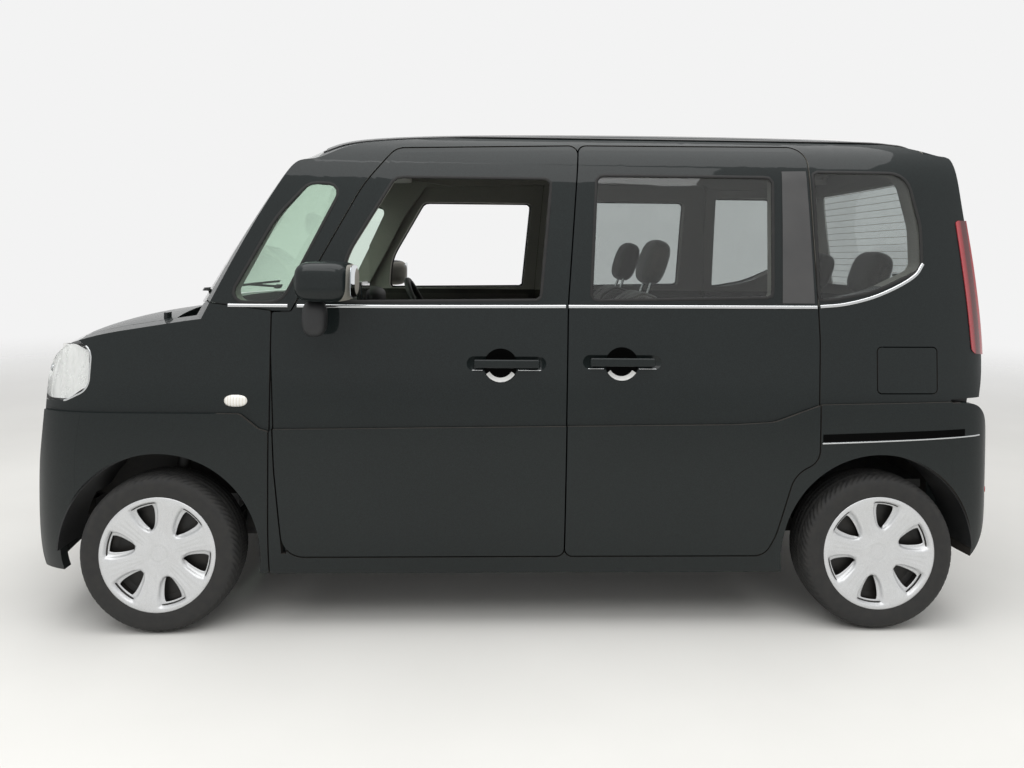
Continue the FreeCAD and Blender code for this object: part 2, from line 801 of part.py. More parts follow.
def bonnet(car):
    block = box(FRONT_END - 60, COWL - PANEL_GAP, -BONNET_HALF, 0, 975, HEIGHT)
    lid = panel(car, block, BONNET_THICKNESS)
    centre = V(BONNET_REAR + BONNET_REAR_RADIUS, 0, 900)
    behind = cylinder(centre, UP, BONNET_REAR_RADIUS, 400)
    lid = solids(lid.cut([lamp_block(HEADLAMP, HEADLAMP_INNER, PANEL_GAP), behind]))
    pin = BONNET_PIN - ACROSS * BONNET_PIN_Y
    plate = box(pin.x - 30, pin.x, pin.y - BARREL_HALF, pin.y + BARREL_HALF, pin.z - 4, pin.z + 8)
    riser = box(pin.x - 30, pin.x - 18, pin.y - BARREL_HALF, pin.y + BARREL_HALF, pin.z - 4, pin.z + 32)
    beside = fixed_plate(pin, pin.x - 14, pin.x + 40, pin.z - 20, pin.z + 12)
    lid = lid.cut(beside).fuse(bored_leaf(pin, -ACROSS, plate.fuse(riser)))
    return whole(lid.cut(pin_bore(pin, -ACROSS)))


def front_bumper(car):
    bumper = panel(car, side_prism(FRONT_BUMPER), BUMPER_THICKNESS)
    mouth = box(FRONT_END - 60, FRONT_END + 200, -380, 0, 300, 480)
    return whole(solids(bumper.cut([car["arches"], mouth])))


def front_grille(car):
    block = box(FRONT_END - 60, FRONT_END + 190, -HEADLAMP_INNER + SEAT_GAP, 0, BEAD_FRONT + 12, 970)
    grille = panel(car, block, BUMPER_THICKNESS)
    slots = []
    for i in range(4):
        low = BEAD_FRONT + 34 + 48 * i
        slots.append(box(FRONT_END - 60, FRONT_END + 200, -340, 0, low, low + 26))
    return whole(grille.cut(slots))


def rear_bumper(car):
    bumper = car["tail"].common(side_prism(REAR_BUMPER)).cut(inset(BUMPER_THICKNESS))
    bumper = bumper.cut([
        gate_block(REAR_AXLE, TAILGATE_HALF + PANEL_GAP, NOTCH_TOP, HEIGHT),
        box(REAR_AXLE, REAR_END - 90, -600, 0, 0, HEIGHT),
        car["arches"],
    ])
    return whole(solids(bumper, 1e4))


def tail_lamps(car):
    lamp = envelope(-4, -6).common(lamp_block(TAIL_LAMP, TAILGATE_HALF + PANEL_GAP))
    return both(solids(lamp.cut(inset(DOOR_THICKNESS))))


def tailgate(car):
    flange = panel(car, gate_block(TAILGATE_FRONT, TAILGATE_HALF, TAILGATE_LOW, HEIGHT + 20), DOOR_FLANGE)
    deep = gate_block(TAILGATE_FRONT + 56, TAILGATE_HALF - STEP_INSET, TAILGATE_LOW + STEP_INSET, HEIGHT)
    body = panel(car, deep, DOOR_THICKNESS)
    window = box(REAR_END - 300, REAR_END + 60, -TAILGATE_WINDOW_HALF, 0,
                 TAILGATE_WINDOW_LOW, TAILGATE_WINDOW_HIGH)
    pin = GATE_PIN - ACROSS * GATE_PIN_Y
    plate = box(pin.x, pin.x + 44, pin.y - BARREL_HALF, pin.y + BARREL_HALF, pin.z - 8, pin.z + 8)
    beside = fixed_plate(pin, pin.x - 12, pin.x + 12, pin.z - 12, pin.z + 12)
    gate = flange.fuse(body).cut(window).cut(beside)
    return whole(solids(gate).fuse(bored_leaf(pin, -ACROSS, plate)).cut(pin_bore(pin, -ACROSS)))


def tailgate_glass(car):
    half = TAILGATE_WINDOW_HALF - SEAT_GAP
    pane = box(REAR_END - 300, REAR_END + 60, -half, 0, TAILGATE_WINDOW_LOW + SEAT_GAP,
               TAILGATE_WINDOW_HIGH - SEAT_GAP)
    return whole(envelope(0, GLASS_RECESS).common(pane).cut(envelope(0, GLASS_RECESS + GLASS_THICKNESS)))


def fuel_lid(car):
    lid = car["outer"].common(side_prism(FUEL_DOOR)).cut(inset(FLAP_THICKNESS))
    pin = FLAP_PIN
    knuckle_eye = cylinder(pin - UP * 40, UP, 5, 80)
    bore = cylinder(pin - UP * 100, UP, FLAP_PIN_RADIUS + RUNNING_FIT, 200)
    return solids(lid.fuse(knuckle_eye.common(inset(0))).cut(bore), 1)


def floor_pan(car):
    half = INSIDE_HALF
    front = box(FIREWALL_X, KICK_UP_X, -half, half, FLOOR_TOP - FLOOR_THICKNESS, FLOOR_TOP)
    riser = box(KICK_UP_X - FLOOR_THICKNESS, KICK_UP_X, -half, half, FLOOR_TOP - 1, REAR_FLOOR_TOP)
    rear = box(KICK_UP_X - 1, TAIL_INSIDE, -half, half, REAR_FLOOR_TOP - FLOOR_THICKNESS, REAR_FLOOR_TOP)
    firewall = box(FIREWALL_X, FIREWALL_X + FIREWALL_THICKNESS, -half, half, FLOOR_TOP - 1, BELT - 120)
    pan = front.fuse([riser, rear, firewall]).cut(both(car["arches"]))
    return pan.common(whole(envelope(WALL_THICKNESS + SEAT_GAP, WALL_THICKNESS + SEAT_GAP)))


def knuckle_axis_point(side, height):
    """A point at a height on the line that a front wheel steers about."""
    share = (height - KINGPIN_LOW) / (TOWER_HEIGHT - KINGPIN_LOW)
    y = FRONT_TRACK / 2 - KINGPIN_INSET - STRUT_TOP_IN * share
    return V(FRONT_AXLE + STRUT_TOP_BACK * share, side * y, height)


def strut_top(side, gap=0.0):
    """Where the strut meets its pad under the tower, square to the steering line."""
    low = knuckle_axis_point(side, KINGPIN_LOW)
    top = knuckle_axis_point(side, TOWER_HEIGHT - 8)
    return top + (top - low).normalize() * gap


def ball_joint_top(side):
    """The same at the lower ball joint, a seat gap below the upright."""
    low = knuckle_axis_point(side, KINGPIN_LOW)
    top = knuckle_axis_point(side, TOWER_HEIGHT)
    return low - (top - low).normalize() * SEAT_GAP


def engine_bay(car):
    x_low = FRONT_END + 102
    parts = []
    for side in (LEFT, RIGHT):
        y = side * BAY_HALF
        apron = box(x_low, FIREWALL_X - SEAT_GAP, min(y, y - side * BAY_WALL), max(y, y - side * BAY_WALL), 380, 900)
        tower = box(FRONT_AXLE - 60, FRONT_AXLE + 100, min(y, side * 600), max(y, side * 600),
                    TOWER_HEIGHT + SEAT_GAP, TOWER_HEIGHT + 20)
        pad = rod(strut_top(side, SEAT_GAP), knuckle_axis_point(side, TOWER_HEIGHT + 12), 30)
        parts += [apron, tower, pad]
    for low in (300, 840):
        parts.append(box(x_low, x_low + 40, -BAY_HALF, BAY_HALF, low, low + 60))
    for y in (-BAY_HALF, BAY_HALF - 40):
        parts.append(box(x_low, x_low + 25, y, y + 40, 300, 900))
    return parts[0].fuse(parts[1:])


def engine_block(car):
    """Engine, gearbox and radiator as one plain mass on two side mounts."""
    block = box(FRONT_AXLE - 230, FRONT_AXLE + 150, -330, 330, 300, 780)
    reach = BAY_HALF - BAY_WALL - SEAT_GAP
    mounts = box(FRONT_AXLE - 60, FRONT_AXLE + 20, -reach, reach, 560, 620)
    return block.fuse(mounts)


BAY_WALL = 20


def steering_column(grow=0.0):
    return rod(WHEEL_HUB - WHEEL_AXIS * 330, WHEEL_HUB - WHEEL_AXIS * 20, 25 + grow)


WHEEL_HUB = V(FRONT_AXLE + 800, 330, 1010)
WHEEL_AXIS = V(0.90, 0, 0.43).normalize()


def dashboard(car):
    low = FIREWALL_X + FIREWALL_THICKNESS + SEAT_GAP
    block = box(low, FRONT_AXLE + 545, -600, 600, 780, 1080)
    inside = whole(envelope(WALL_THICKNESS + SEAT_GAP, WALL_THICKNESS + SEAT_GAP))
    return block.common(inside).cut(steering_column(SEAT_GAP))


def revolved(points, centre, axis_point=None):
    """A section of (radius, y) corners turned about a wheel's axis."""
    corners = [centre + V(r, y, 0) for r, y in points]
    face = Part.Face(Part.makePolygon(corners + [corners[0]]))
    return face.revolve(centre, ACROSS, 360)


def wheel_centre(end, side):
    x = FRONT_AXLE if end == "front" else REAR_AXLE
    track = FRONT_TRACK if end == "front" else REAR_TRACK
    return V(x, side * track / 2, AXLE_HEIGHT)


def tyre(centre):
    half = TYRE_WIDTH / 2
    corners = [
        (RIM_RADIUS + 0.3, -half + 14),
        (RIM_RADIUS + 16, -half + 4),
        (RIM_RADIUS + 44, -half),
        (TYRE_RADIUS - 22, -half + 5),
        (TYRE_RADIUS - 7, -half + 17),
        (TYRE_RADIUS, -half + 34),
        (TYRE_RADIUS, half - 34),
        (TYRE_RADIUS - 7, half - 17),
        (TYRE_RADIUS - 22, half - 5),
        (RIM_RADIUS + 44, half),
        (RIM_RADIUS + 16, half - 4),
        (RIM_RADIUS + 0.3, half - 14),
    ]
    return revolved(corners, centre)


def wheel(centre, side):
    half = TYRE_WIDTH / 2 - 14
    out = side
    corners = [
        (RIM_RADIUS, -out * half),
        (RIM_RADIUS, out * half),
        (RIM_RADIUS - 10, out * half),
        (RIM_RADIUS - 12, out * 30),
        (RIM_RADIUS - 30, out * 26),
        (SPINDLE_RADIUS + RUNNING_FIT, out * 26),
        (SPINDLE_RADIUS + RUNNING_FIT, out * 14),
        (RIM_RADIUS - 30, out * 14),
        (RIM_RADIUS - 12, out * 8),
        (RIM_RADIUS - 10, -out * half),
    ]
    return revolved(corners, centre)


COVER_SPOKES = 6
COVER_TURN = 18
COVER_OPENING = [(74, -10), (112, -17), (146, -19), (146, 19), (112, 17), (74, 10)]


def wheel_cover(centre, side):
    """A dished disc that clips to the rim's lip through a ring behind it."""
    lip = TYRE_WIDTH / 2 - 14 + SEAT_GAP
    face = TYRE_WIDTH / 2 - 10
    corners = [
        (0, face - 8),
        (34, face - 4),
        (60, face - 14),
        (150, face - 6),
        (RIM_RADIUS - 9, face + 3),
        (RIM_RADIUS - 9, lip),
        (RIM_RADIUS - 3, lip),
        (RIM_RADIUS - 3, face + 6),
        (RIM_RADIUS + 13, face + 8),
        (RIM_RADIUS + 13, face + 11),
        (RIM_RADIUS - 6, face + 10),
        (150, face - 1),
        (60, face - 9),
        (34, face),
        (0, face),
    ]
    disc = revolved([(r, side * y) for r, y in corners], centre)
    openings = []
    for i in range(COVER_SPOKES):
        middle = math.radians(COVER_TURN + 360 / COVER_SPOKES * i)
        ring = []
        for radius, half_angle in COVER_OPENING:
            ring.append((radius, middle + math.radians(half_angle)))
        points = [centre + V(r * math.cos(a), -120, r * math.sin(a)) for r, a in ring]
        openings.append(Part.Face(Part.makePolygon(points + points[:1])).extrude(V(0, 240, 0)))
    return disc.cut(openings)


def knuckle(side):
    """The upright with its spindle, and the strut that turns with it."""
    centre = wheel_centre("front", side)
    low = knuckle_axis_point(side, KINGPIN_LOW)
    seat = knuckle_axis_point(side, AXLE_HEIGHT + 160)
    top = strut_top(side)
    upright = rod(low, seat, 22)
    tube = rod(seat, top, 24)
    spring_seat = rod(knuckle_axis_point(side, 560), knuckle_axis_point(side, 570), 62)
    spring = rod(knuckle_axis_point(side, 570), knuckle_axis_point(side, 772), 50)
    inner = knuckle_axis_point(side, AXLE_HEIGHT)
    spindle = rod(V(FRONT_AXLE, inner.y, AXLE_HEIGHT), centre + V(0, side * 30, 0), SPINDLE_RADIUS)
    hub = rod(V(FRONT_AXLE, inner.y, AXLE_HEIGHT), V(FRONT_AXLE, inner.y + side * 40, AXLE_HEIGHT), 45)
    arm = rod(V(FRONT_AXLE, inner.y, AXLE_HEIGHT - 30), V(FRONT_AXLE + 120, inner.y - side * 25, 239), 10)
    return upright.fuse([tube, spring_seat, spring, spindle, hub, arm])


def front_suspension(car):
    """Lower arms, the crossmember that holds them, and the steering rack."""
    cross = box(FRONT_AXLE - 40, FRONT_AXLE + 130, -340, 340, 160, 215)
    parts = []
    for side in (LEFT, RIGHT):
        low = knuckle_axis_point(side, KINGPIN_LOW)
        joint = rod(knuckle_axis_point(side, 158), ball_joint_top(side), 20)
        y_post = sorted((side * (BAY_HALF - BAY_WALL), side * BAY_HALF))
        y_arm = sorted((side * 320, side * BAY_HALF))
        post = box(FRONT_AXLE + 60, FRONT_AXLE + 100, *y_post, 190, 380 - SEAT_GAP)
        foot = box(FRONT_AXLE + 60, FRONT_AXLE + 100, *y_arm, 190, 215)
        inner = V(FRONT_AXLE - 20, side * 330, 175)
        behind = V(FRONT_AXLE + 110, side * 330, 175)
        ball = knuckle_axis_point(side, 165)
        parts += [joint, post, foot, rod(inner, ball, 12), rod(behind, ball, 12)]
    rack = rod(V(FRONT_AXLE + 150, -330, 239), V(FRONT_AXLE + 150, 330, 239), 22)
    column_foot = box(FRONT_AXLE + 120, FRONT_AXLE + 160, -60, 60, 205, 235)
    return cross.fuse(parts + [rack, column_foot])


def rear_axle(car):
    """Twist beam: trailing arms from the floor, a cross beam and spindles."""
    beam = rod(V(REAR_AXLE - 180, -470, AXLE_HEIGHT + 25), V(REAR_AXLE - 180, 470, AXLE_HEIGHT + 25), 32)
    parts = []
    for side in (LEFT, RIGHT):
        centre = wheel_centre("rear", side)
        y = side * 470
        parts.append(box(KICK_UP_X + SEAT_GAP, REAR_AXLE + 40, y - 24, y + 24, AXLE_HEIGHT, AXLE_HEIGHT + 50))
        parts.append(rod(V(REAR_AXLE, y, AXLE_HEIGHT), centre + V(0, side * 30, 0), SPINDLE_RADIUS))
        parts.append(rod(V(REAR_AXLE, y + side * 20, AXLE_HEIGHT), V(REAR_AXLE, y + side * 110, AXLE_HEIGHT), 40))
        spring_foot = V(REAR_AXLE - 150, side * 420, AXLE_HEIGHT + 30)
        floor_height = REAR_FLOOR_TOP - FLOOR_THICKNESS - SEAT_GAP
        parts.append(rod(spring_foot, V(spring_foot.x, spring_foot.y, floor_height), 48))
    return beam.fuse(parts)


def wheel_arch_liners(car):
    outer = ARCH_RADIUS - LINER_GAP
    inner = outer - LINER_THICKNESS
    parts = []
    for x, well_y in ((FRONT_AXLE, FRONT_WELL_Y), (REAR_AXLE, REAR_WELL_Y)):
        start = V(x, -WIDTH / 2 + 34, AXLE_HEIGHT)
        length = WIDTH / 2 - 34 - well_y - 2
        ring = cylinder(start, ACROSS, outer, length).cut(cylinder(start, ACROSS, inner, length))
        parts.append(ring.common(box(x - 400, x + 400, -MASTER_HALF, 0, AXLE_HEIGHT + 8, HEIGHT)))
    strut_hole = rod(knuckle_axis_point(LEFT, 450), knuckle_axis_point(LEFT, 720), 82)
    return both(Part.makeCompound(parts).cut(strut_hole).cut(box(-2000, 2000, -520, 0, 0, 420)))


def exhaust(car):
    """Pipe, silencer and tail pipe, on hangers under the floor."""
    silencer_x = REAR_AXLE + 100
    pipe = rod(V(FRONT_AXLE + 180, 60, 190), V(silencer_x + 10, 60, 190), 22)
    tail_pipe = rod(V(silencer_x + 100, 60, 176), V(REAR_END - 100, 60, 176), 20)
    silencer = box(silencer_x, silencer_x + 110, -230, 230, 168, 320)
    hanger_top = REAR_FLOOR_TOP - FLOOR_THICKNESS - SEAT_GAP
    hangers = [rod(V(silencer_x + 55, y, 310), V(silencer_x + 55, y, hanger_top), 8) for y in (-180, 180)]
    return pipe.fuse([tail_pipe, silencer] + hangers)


def fuel_tank(car):
    return box(FRONT_AXLE + 1200, KICK_UP_X - 60, -430, 0, 165, FLOOR_TOP - FLOOR_THICKNESS - SEAT_GAP)


def seat_side(x, z, lean, y_low, y_high):
    """A cushion, a leaning back and a headrest, as one soft closed form each."""
    cushion = box(x, x + 480, y_low, y_high, z, z + 130)
    back = box(0, 110, y_low + 10, y_high - 10, 0, 560)
    middle = (y_low + y_high) / 2
    rest = box(15, 95, middle - 120, middle + 120, 560 + SEAT_GAP, 730)
    foot = V(x + 480 + SEAT_GAP, 0, z + 130)
    for piece in (back, rest):
        piece.rotate(V(0, 0, 0), ACROSS, lean)
        piece.translate(foot)
    return [cushion, back, rest]


def front_seats(car):
    parts = []
    for y_low, y_high in ((-590, -20), (20, 590)):
        parts += seat_side(FRONT_AXLE + 1000, 500, 18, y_low, y_high)
        parts.append(box(FRONT_AXLE + 1050, FRONT_AXLE + 1450, y_low + 60, y_high - 60,
                         FLOOR_TOP + SEAT_GAP, 500 - SEAT_GAP))
    return Part.makeCompound(parts)


def rear_seats(car):
    parts = []
    for y_low, y_high in ((-510, -10), (10, 510)):
        parts += seat_side(KICK_UP_X - 90, REAR_FLOOR_TOP + SEAT_GAP, 20, y_low, y_high)
    return Part.makeCompound(parts)


def steering_wheel(car):
    centre = WHEEL_HUB
    axis = WHEEL_AXIS
    ring = Part.makeTorus(175, 14, centre, axis)
    hub = rod(centre - axis * 30, centre + axis * 10, 55)
    column = steering_column()
    spokes = []
    for y in (-1, 1):
        spokes.append(rod(centre, centre + V(0, y * 170, 0), 12))
    return ring.fuse([hub, column] + spokes)


def clear_of_skin(shape):
    """A piece that sits on the skin, cut back to its seat."""
    return shape.cut(both(envelope(-SEAT_GAP, -SEAT_GAP)))


def mirror_piece(side):
    foot = box(A_BASE + 90, A_BASE + 150, -790, -702, BELT - 5, BELT + 30)
    shell = box(A_BASE + 55, A_BASE + 205, -905, -752, BELT + 12, BELT + 137)
    shell = shell.makeFillet(26, shell.Edges)
    return on_side(clear_of_skin(shell.fuse(foot)), side)


def handle_room(handle):
    """The dish behind a handle: a ball for the hand in a shallow round-ended trough."""
    start, hand, middle = handle
    ball = Part.makeSphere(DISH_BALL, V(hand, DISH_DEPTH - DISH_BALL - HANDLE_SKIN, middle - 6))
    line = TROUGH_DEPTH - TROUGH_RADIUS - HANDLE_SKIN
    trough = cylinder(V(start, line, middle), ALONG, TROUGH_RADIUS, HANDLE_LENGTH)
    ends = [Part.makeSphere(TROUGH_RADIUS, V(x, line, middle)) for x in (start, start + HANDLE_LENGTH)]
    return ball.fuse([trough] + ends)


def handle_piece(handle, side):
    """A rounded grip on two legs that stand in the dish."""
    x, _, middle = handle
    inner = HANDLE_THICKNESS - WIDTH / 2
    bar = box(x, x + HANDLE_LENGTH, -WIDTH / 2, inner, middle - HANDLE_HALF, middle + HANDLE_HALF)
    bar = bar.makeFillet(5, bar.Edges)
    foot = TROUGH_DEPTH - 1.5 - HANDLE_SKIN
    legs = [box(low, low + HANDLE_LEG, inner - 2, foot, middle - 9, middle + 9)
            for low in (x + 6, x + HANDLE_LENGTH - 6 - HANDLE_LEG)]
    return on_side(bar.fuse(legs), side)


def strip_across(start, stop, half_width, x_low, x_high):
    """A straight bar seen from the front, between two (y, z) points."""
    start = V(x_low, *start)
    stop = V(x_low, *stop)
    off = (stop - start).normalize().cross(ALONG) * half_width
    wire = Part.makePolygon([start + off, stop + off, stop - off, start - off, start + off])
    return Part.Face(wire).extrude(ALONG * (x_high - x_low))


def laid_on_glass(side, pivot, start, stop, x_low, x_high):
    """A wiper with blade, arm and hub that follows the glass, from left-hand points."""
    above = envelope(0, -WIPER_LIFT - WIPER_HEIGHT)
    air = above.cut(envelope(0, -WIPER_LIFT))
    middle = ((start[0] + stop[0]) / 2, (start[1] + stop[1]) / 2)
    blade = strip_across(start, stop, 5, x_low, x_high)
    arm = strip_across(pivot, middle, 5, x_low, x_high)
    hub_space = above.cut(envelope(0, GLASS_RECESS - SEAT_GAP))
    hub = cylinder(V(x_low, *pivot), ALONG, 11, x_high - x_low).common(hub_space)
    return on_side(air.common(blade.fuse(arm)).fuse(hub), side)


def wipers(car):
    low = WINDSCREEN_LOW + 14
    limits = (FRONT_AXLE - 150, FRONT_AXLE + 150)
    left = laid_on_glass(LEFT, (-64, low + 1), (-540, low + 26), (-84, low + 12), *limits)
    right = laid_on_glass(RIGHT, (-515, low), (-500, low + 26), (-20, low + 12), *limits)
    return Part.makeCompound([left, right])


def rear_wiper(car):
    low = TAILGATE_WINDOW_LOW + 26
    limits = (REAR_END - 150, REAR_END + 50)
    return laid_on_glass(LEFT, (-15, low), (-400, low + 24), (-60, low + 30), *limits)


def write(name, shape):
    shape.exportStep("parts/" + name + ".step")


def main():
    os.makedirs("parts", exist_ok=True)
    car = make_masters()
    for make in (
        body_shell, roof_panel, windscreen, side_glass, front_fenders, headlamps, bonnet,
        front_bumper, front_grille, rear_bumper, tail_lamps, tailgate, tailgate_glass, fuel_lid,
        sliding_doors, floor_pan, engine_bay, engine_block, dashboard, rear_axle,
        front_suspension, wheel_arch_liners, exhaust, fuel_tank, front_seats, rear_seats,
        steering_wheel, wipers, rear_wiper,
    ):
        write(make.__name__, make(car))
    left_door = front_door(car)
    write("sliding_door_handles", both(handle_piece(SLIDING_HANDLE, LEFT)))
    for side_name, side in SIDES.items():
        write("front_door_" + side_name, on_side(left_door, side))
        write("knuckle_" + side_name, knuckle(side))
        write("door_mirror_" + side_name, mirror_piece(side))
        write("front_handle_" + side_name, handle_piece(FRONT_HANDLE, side))
        for end in ("front", "rear"):
            name = end + "_" + side_name
            centre = wheel_centre(end, side)
            write("tyre_" + name, tyre(centre))
            write("wheel_" + name, wheel(centre, side))
            write("wheel_cover_" + name, wheel_cover(centre, side))


main()
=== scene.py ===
"""Looks of a tall kei car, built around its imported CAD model."""

import math

import bmesh
import bpy
import numpy as np
from mathutils import Matrix, Vector


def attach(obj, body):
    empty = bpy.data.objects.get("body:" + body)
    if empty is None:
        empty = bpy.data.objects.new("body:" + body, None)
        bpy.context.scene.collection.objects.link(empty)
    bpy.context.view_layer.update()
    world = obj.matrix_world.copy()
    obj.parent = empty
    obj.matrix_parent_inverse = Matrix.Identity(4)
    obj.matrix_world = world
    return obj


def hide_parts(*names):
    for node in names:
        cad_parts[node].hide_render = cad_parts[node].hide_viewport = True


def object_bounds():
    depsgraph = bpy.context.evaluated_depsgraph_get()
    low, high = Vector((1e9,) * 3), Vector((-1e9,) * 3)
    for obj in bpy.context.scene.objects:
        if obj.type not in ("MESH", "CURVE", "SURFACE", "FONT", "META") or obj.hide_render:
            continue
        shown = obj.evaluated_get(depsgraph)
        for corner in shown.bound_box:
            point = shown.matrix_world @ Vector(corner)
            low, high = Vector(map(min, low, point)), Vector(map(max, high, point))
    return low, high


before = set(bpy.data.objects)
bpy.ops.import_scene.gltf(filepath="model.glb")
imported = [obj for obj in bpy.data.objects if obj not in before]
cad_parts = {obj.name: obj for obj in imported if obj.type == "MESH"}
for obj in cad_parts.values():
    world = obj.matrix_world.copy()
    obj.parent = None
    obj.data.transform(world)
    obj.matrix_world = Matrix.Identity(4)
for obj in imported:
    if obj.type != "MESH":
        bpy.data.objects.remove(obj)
CAD_LOW, CAD_HIGH = [list(corner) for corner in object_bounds()]

bl_info = {
    "name": "Tall kei car",
    "version": (1, 0, 0),
    "blender": (4, 5, 0),
    "location": "View3D > Sidebar > Kei car",
    "description": "Paint, glass, lamps, wheels, trim and cabin of a tall kei car",
    "category": "Object",
}

# Places in metres, from the CAD model
FRONT_AXLE = -1.1925
REAR_AXLE = 1.2675
AXLE_HEIGHT = 0.269
SIDES = {"left": -1, "right": 1}

# Half the width at the widest; how far the padding over the rear arch stands proud of the side; how far the side
# leans in at each height, and turns in at each station, in millimetres
SIDE = 0.7245
PAD_PROUD = 0.013
LEAN = np.array([
    (0.130, 62), (0.200, 34), (0.300, 13), (0.480, 3), (0.650, 0), (0.860, 4), (1.000, 9), (1.121, 18),
    (1.300, 39), (1.500, 68), (1.600, 88), (1.660, 118), (1.705, 166), (1.740, 240), (1.795, 300),
])
TURN_IN = np.array([
    (-1.7375, 300), (-1.6925, 215), (-1.6575, 138), (-1.6225, 95), (-1.5775, 62), (-1.5125, 35),
    (-1.4275, 17), (-1.2125, 6), (-0.7925, 0), (0, 0), (0.8675, 0), (1.2675, 3), (1.4575, 8),
    (1.5675, 19), (1.6275, 34), (1.6625, 56), (1.6895, 95), (1.7075, 150), (1.7275, 240),
])


# Colour and node helpers
def linear(code):
    """An sRGB hex colour as linear red, green, blue and an alpha of one."""
    parts = [int(code[i:i + 2], 16) / 255 for i in (1, 3, 5)]
    return [c / 12.92 if c <= 0.04045 else ((c + 0.055) / 1.055) ** 2.4 for c in parts] + [1.0]


def chosen(name):
    """A colour from the panel's list, as linear red, green, blue and alpha."""
    return list(getattr(bpy.context.scene.keicar_colours, name))


def add(tree, kind, links=None, stops=None, **settings):
    """Adds a node with its settings and a ramp's (place, colour) stops, and fills or links its inputs."""
    node = tree.nodes.new(kind)
    for name, value in settings.items():
        setattr(node, name, value)
    for key, value in (links or {}).items():
        socket = node.inputs[key]
        if isinstance(value, bpy.types.NodeSocket):
            tree.links.new(value, socket)
        else:
            socket.default_value = value
    if stops:
        elements = node.color_ramp.elements
        for element, (place, colour) in zip((elements[0], elements[1]), (stops[0], stops[-1])):
            element.position, element.color = place, colour
        for place, colour in stops[1:-1]:
            elements.new(place).color = colour
    return node


def material(name, build):
    """A new material whose tree ends in the shader that build(tree, coordinates) returns."""
    mat = bpy.data.materials.new(name)
    mat.use_nodes = True
    tree = mat.node_tree
    tree.nodes.clear()
    place = add(tree, "ShaderNodeTexCoord").outputs["Object"]
    shader = build(tree, place)
    out = add(tree, "ShaderNodeOutputMaterial", {"Surface": shader.outputs[0]})
    out.is_active_output = True
    return mat


# For each pattern: the texture node, its output, what its scale is divided by, and its settings
RADIANS_A_WAVE = 6.28
PATTERNS = {
    "noise": ("ShaderNodeTexNoise", "Fac", 1, {}),
    "grain": ("ShaderNodeTexVoronoi", "Distance", 1, {"feature": "DISTANCE_TO_EDGE"}),
    "pillows": ("ShaderNodeTexVoronoi", "Distance", 1, {"feature": "SMOOTH_F1", "distance": "CHEBYCHEV"}),
    "flutes": ("ShaderNodeTexWave", "Fac", RADIANS_A_WAVE, {"bands_direction": "X"}),
}


def textured(tree, place, kind, millimetres, detail=2.0):
    """One number from a pattern whose blotches, cells or waves are about that many millimetres across."""
    node, output, divisor, settings = PATTERNS[kind]
    links = {"Vector": place, "Scale": 1000 / millimetres / divisor}
    if kind == "noise":
        links["Detail"] = detail
    return add(tree, node, links, **settings).outputs[output]


def layered(tones, rough, relief=None, sockets=None):
    """A finish of one shader. tones is one colour, or a pattern, where its mix starts and ends, and two colours.
    rough is a number, or a pattern and two numbers. relief is a pattern and its height in millimetres."""
    def build(tree, place):
        made = {}

        def laid(pattern):
            if pattern not in made:
                made[pattern] = textured(tree, place, *pattern)
            return made[pattern]

        links = dict(sockets or {}, Roughness=rough)
        if isinstance(tones, str):
            links["Base Color"] = linear(tones)
        else:
            by, start, end, first, second = tones
            first, second = [code if isinstance(code, list) else linear(code) for code in (first, second)]
            mixed = add(tree, "ShaderNodeValToRGB", {"Fac": laid(by)}, [(start, first), (end, second)])
            links["Base Color"] = mixed.outputs["Color"]
        if isinstance(rough, tuple):
            by, low, high = rough
            between = add(tree, "ShaderNodeMapRange", {"Value": laid(by), "To Min": low, "To Max": high})
            links["Roughness"] = between.outputs["Result"]
        if relief:
            by, millimetres = relief
            raised = add(tree, "ShaderNodeBump", {"Height": laid(by), "Distance": millimetres / 1000})
            links["Normal"] = raised.outputs["Normal"]
        return add(tree, "ShaderNodeBsdfPrincipled", links)
    return build


# Finishes
# The cabin's middle with its signs turned, and the least that a face must look towards it; where the cowl ends,
# where the belt line is and where the privacy glass starts
CABIN_MIDDLE, LOOKS_IN = (-0.35, 0.0, -1.0), -0.22
COWL_X, BELT_Z, PRIVACY_X = -1.0, 1.118, -0.3


def pearl_paint(tree, place):
    """Baked pearl over black: blue-green glints under a clear coat with a faint orange peel. Faces towards the
    cabin show its lining."""
    flakes = add(tree, "ShaderNodeTexVoronoi", {"Vector": place, "Scale": 1000 / 1.6})
    glint = add(tree, "ShaderNodeSeparateColor", {"Color": flakes.outputs["Color"]})
    tone = add(tree, "ShaderNodeValToRGB", {"Fac": glint.outputs[0]},
               [(0.2, chosen("paint_deep")), (1.0, chosen("paint_pearl"))])
    film = add(tree, "ShaderNodeMapRange", {"Value": textured(tree, place, "noise", 900), "To Max": 0.08})
    colour = add(tree, "ShaderNodeMix", {"Factor": film.outputs["Result"], "A": tone.outputs["Color"],
                                         "B": linear("#3A4644")}, data_type="RGBA")
    peel = add(tree, "ShaderNodeBump", {"Height": textured(tree, place, "noise", 7, 1.0), "Distance": 0.012 / 1000})
    paint = add(tree, "ShaderNodeBsdfPrincipled", {
        "Base Color": colour.outputs["Result"], "Roughness": 0.5, "IOR": 1.5, "Specular IOR Level": 0.1,
        "Coat Weight": 0.45, "Coat Roughness": 0.03, "Coat IOR": 1.5, "Normal": peel.outputs["Normal"],
    })
    lining = cabin_lining(tree, place)
    return add(tree, "ShaderNodeMixShader", {0: facing_in(tree, place), 1: paint.outputs[0], 2: lining.outputs[0]})


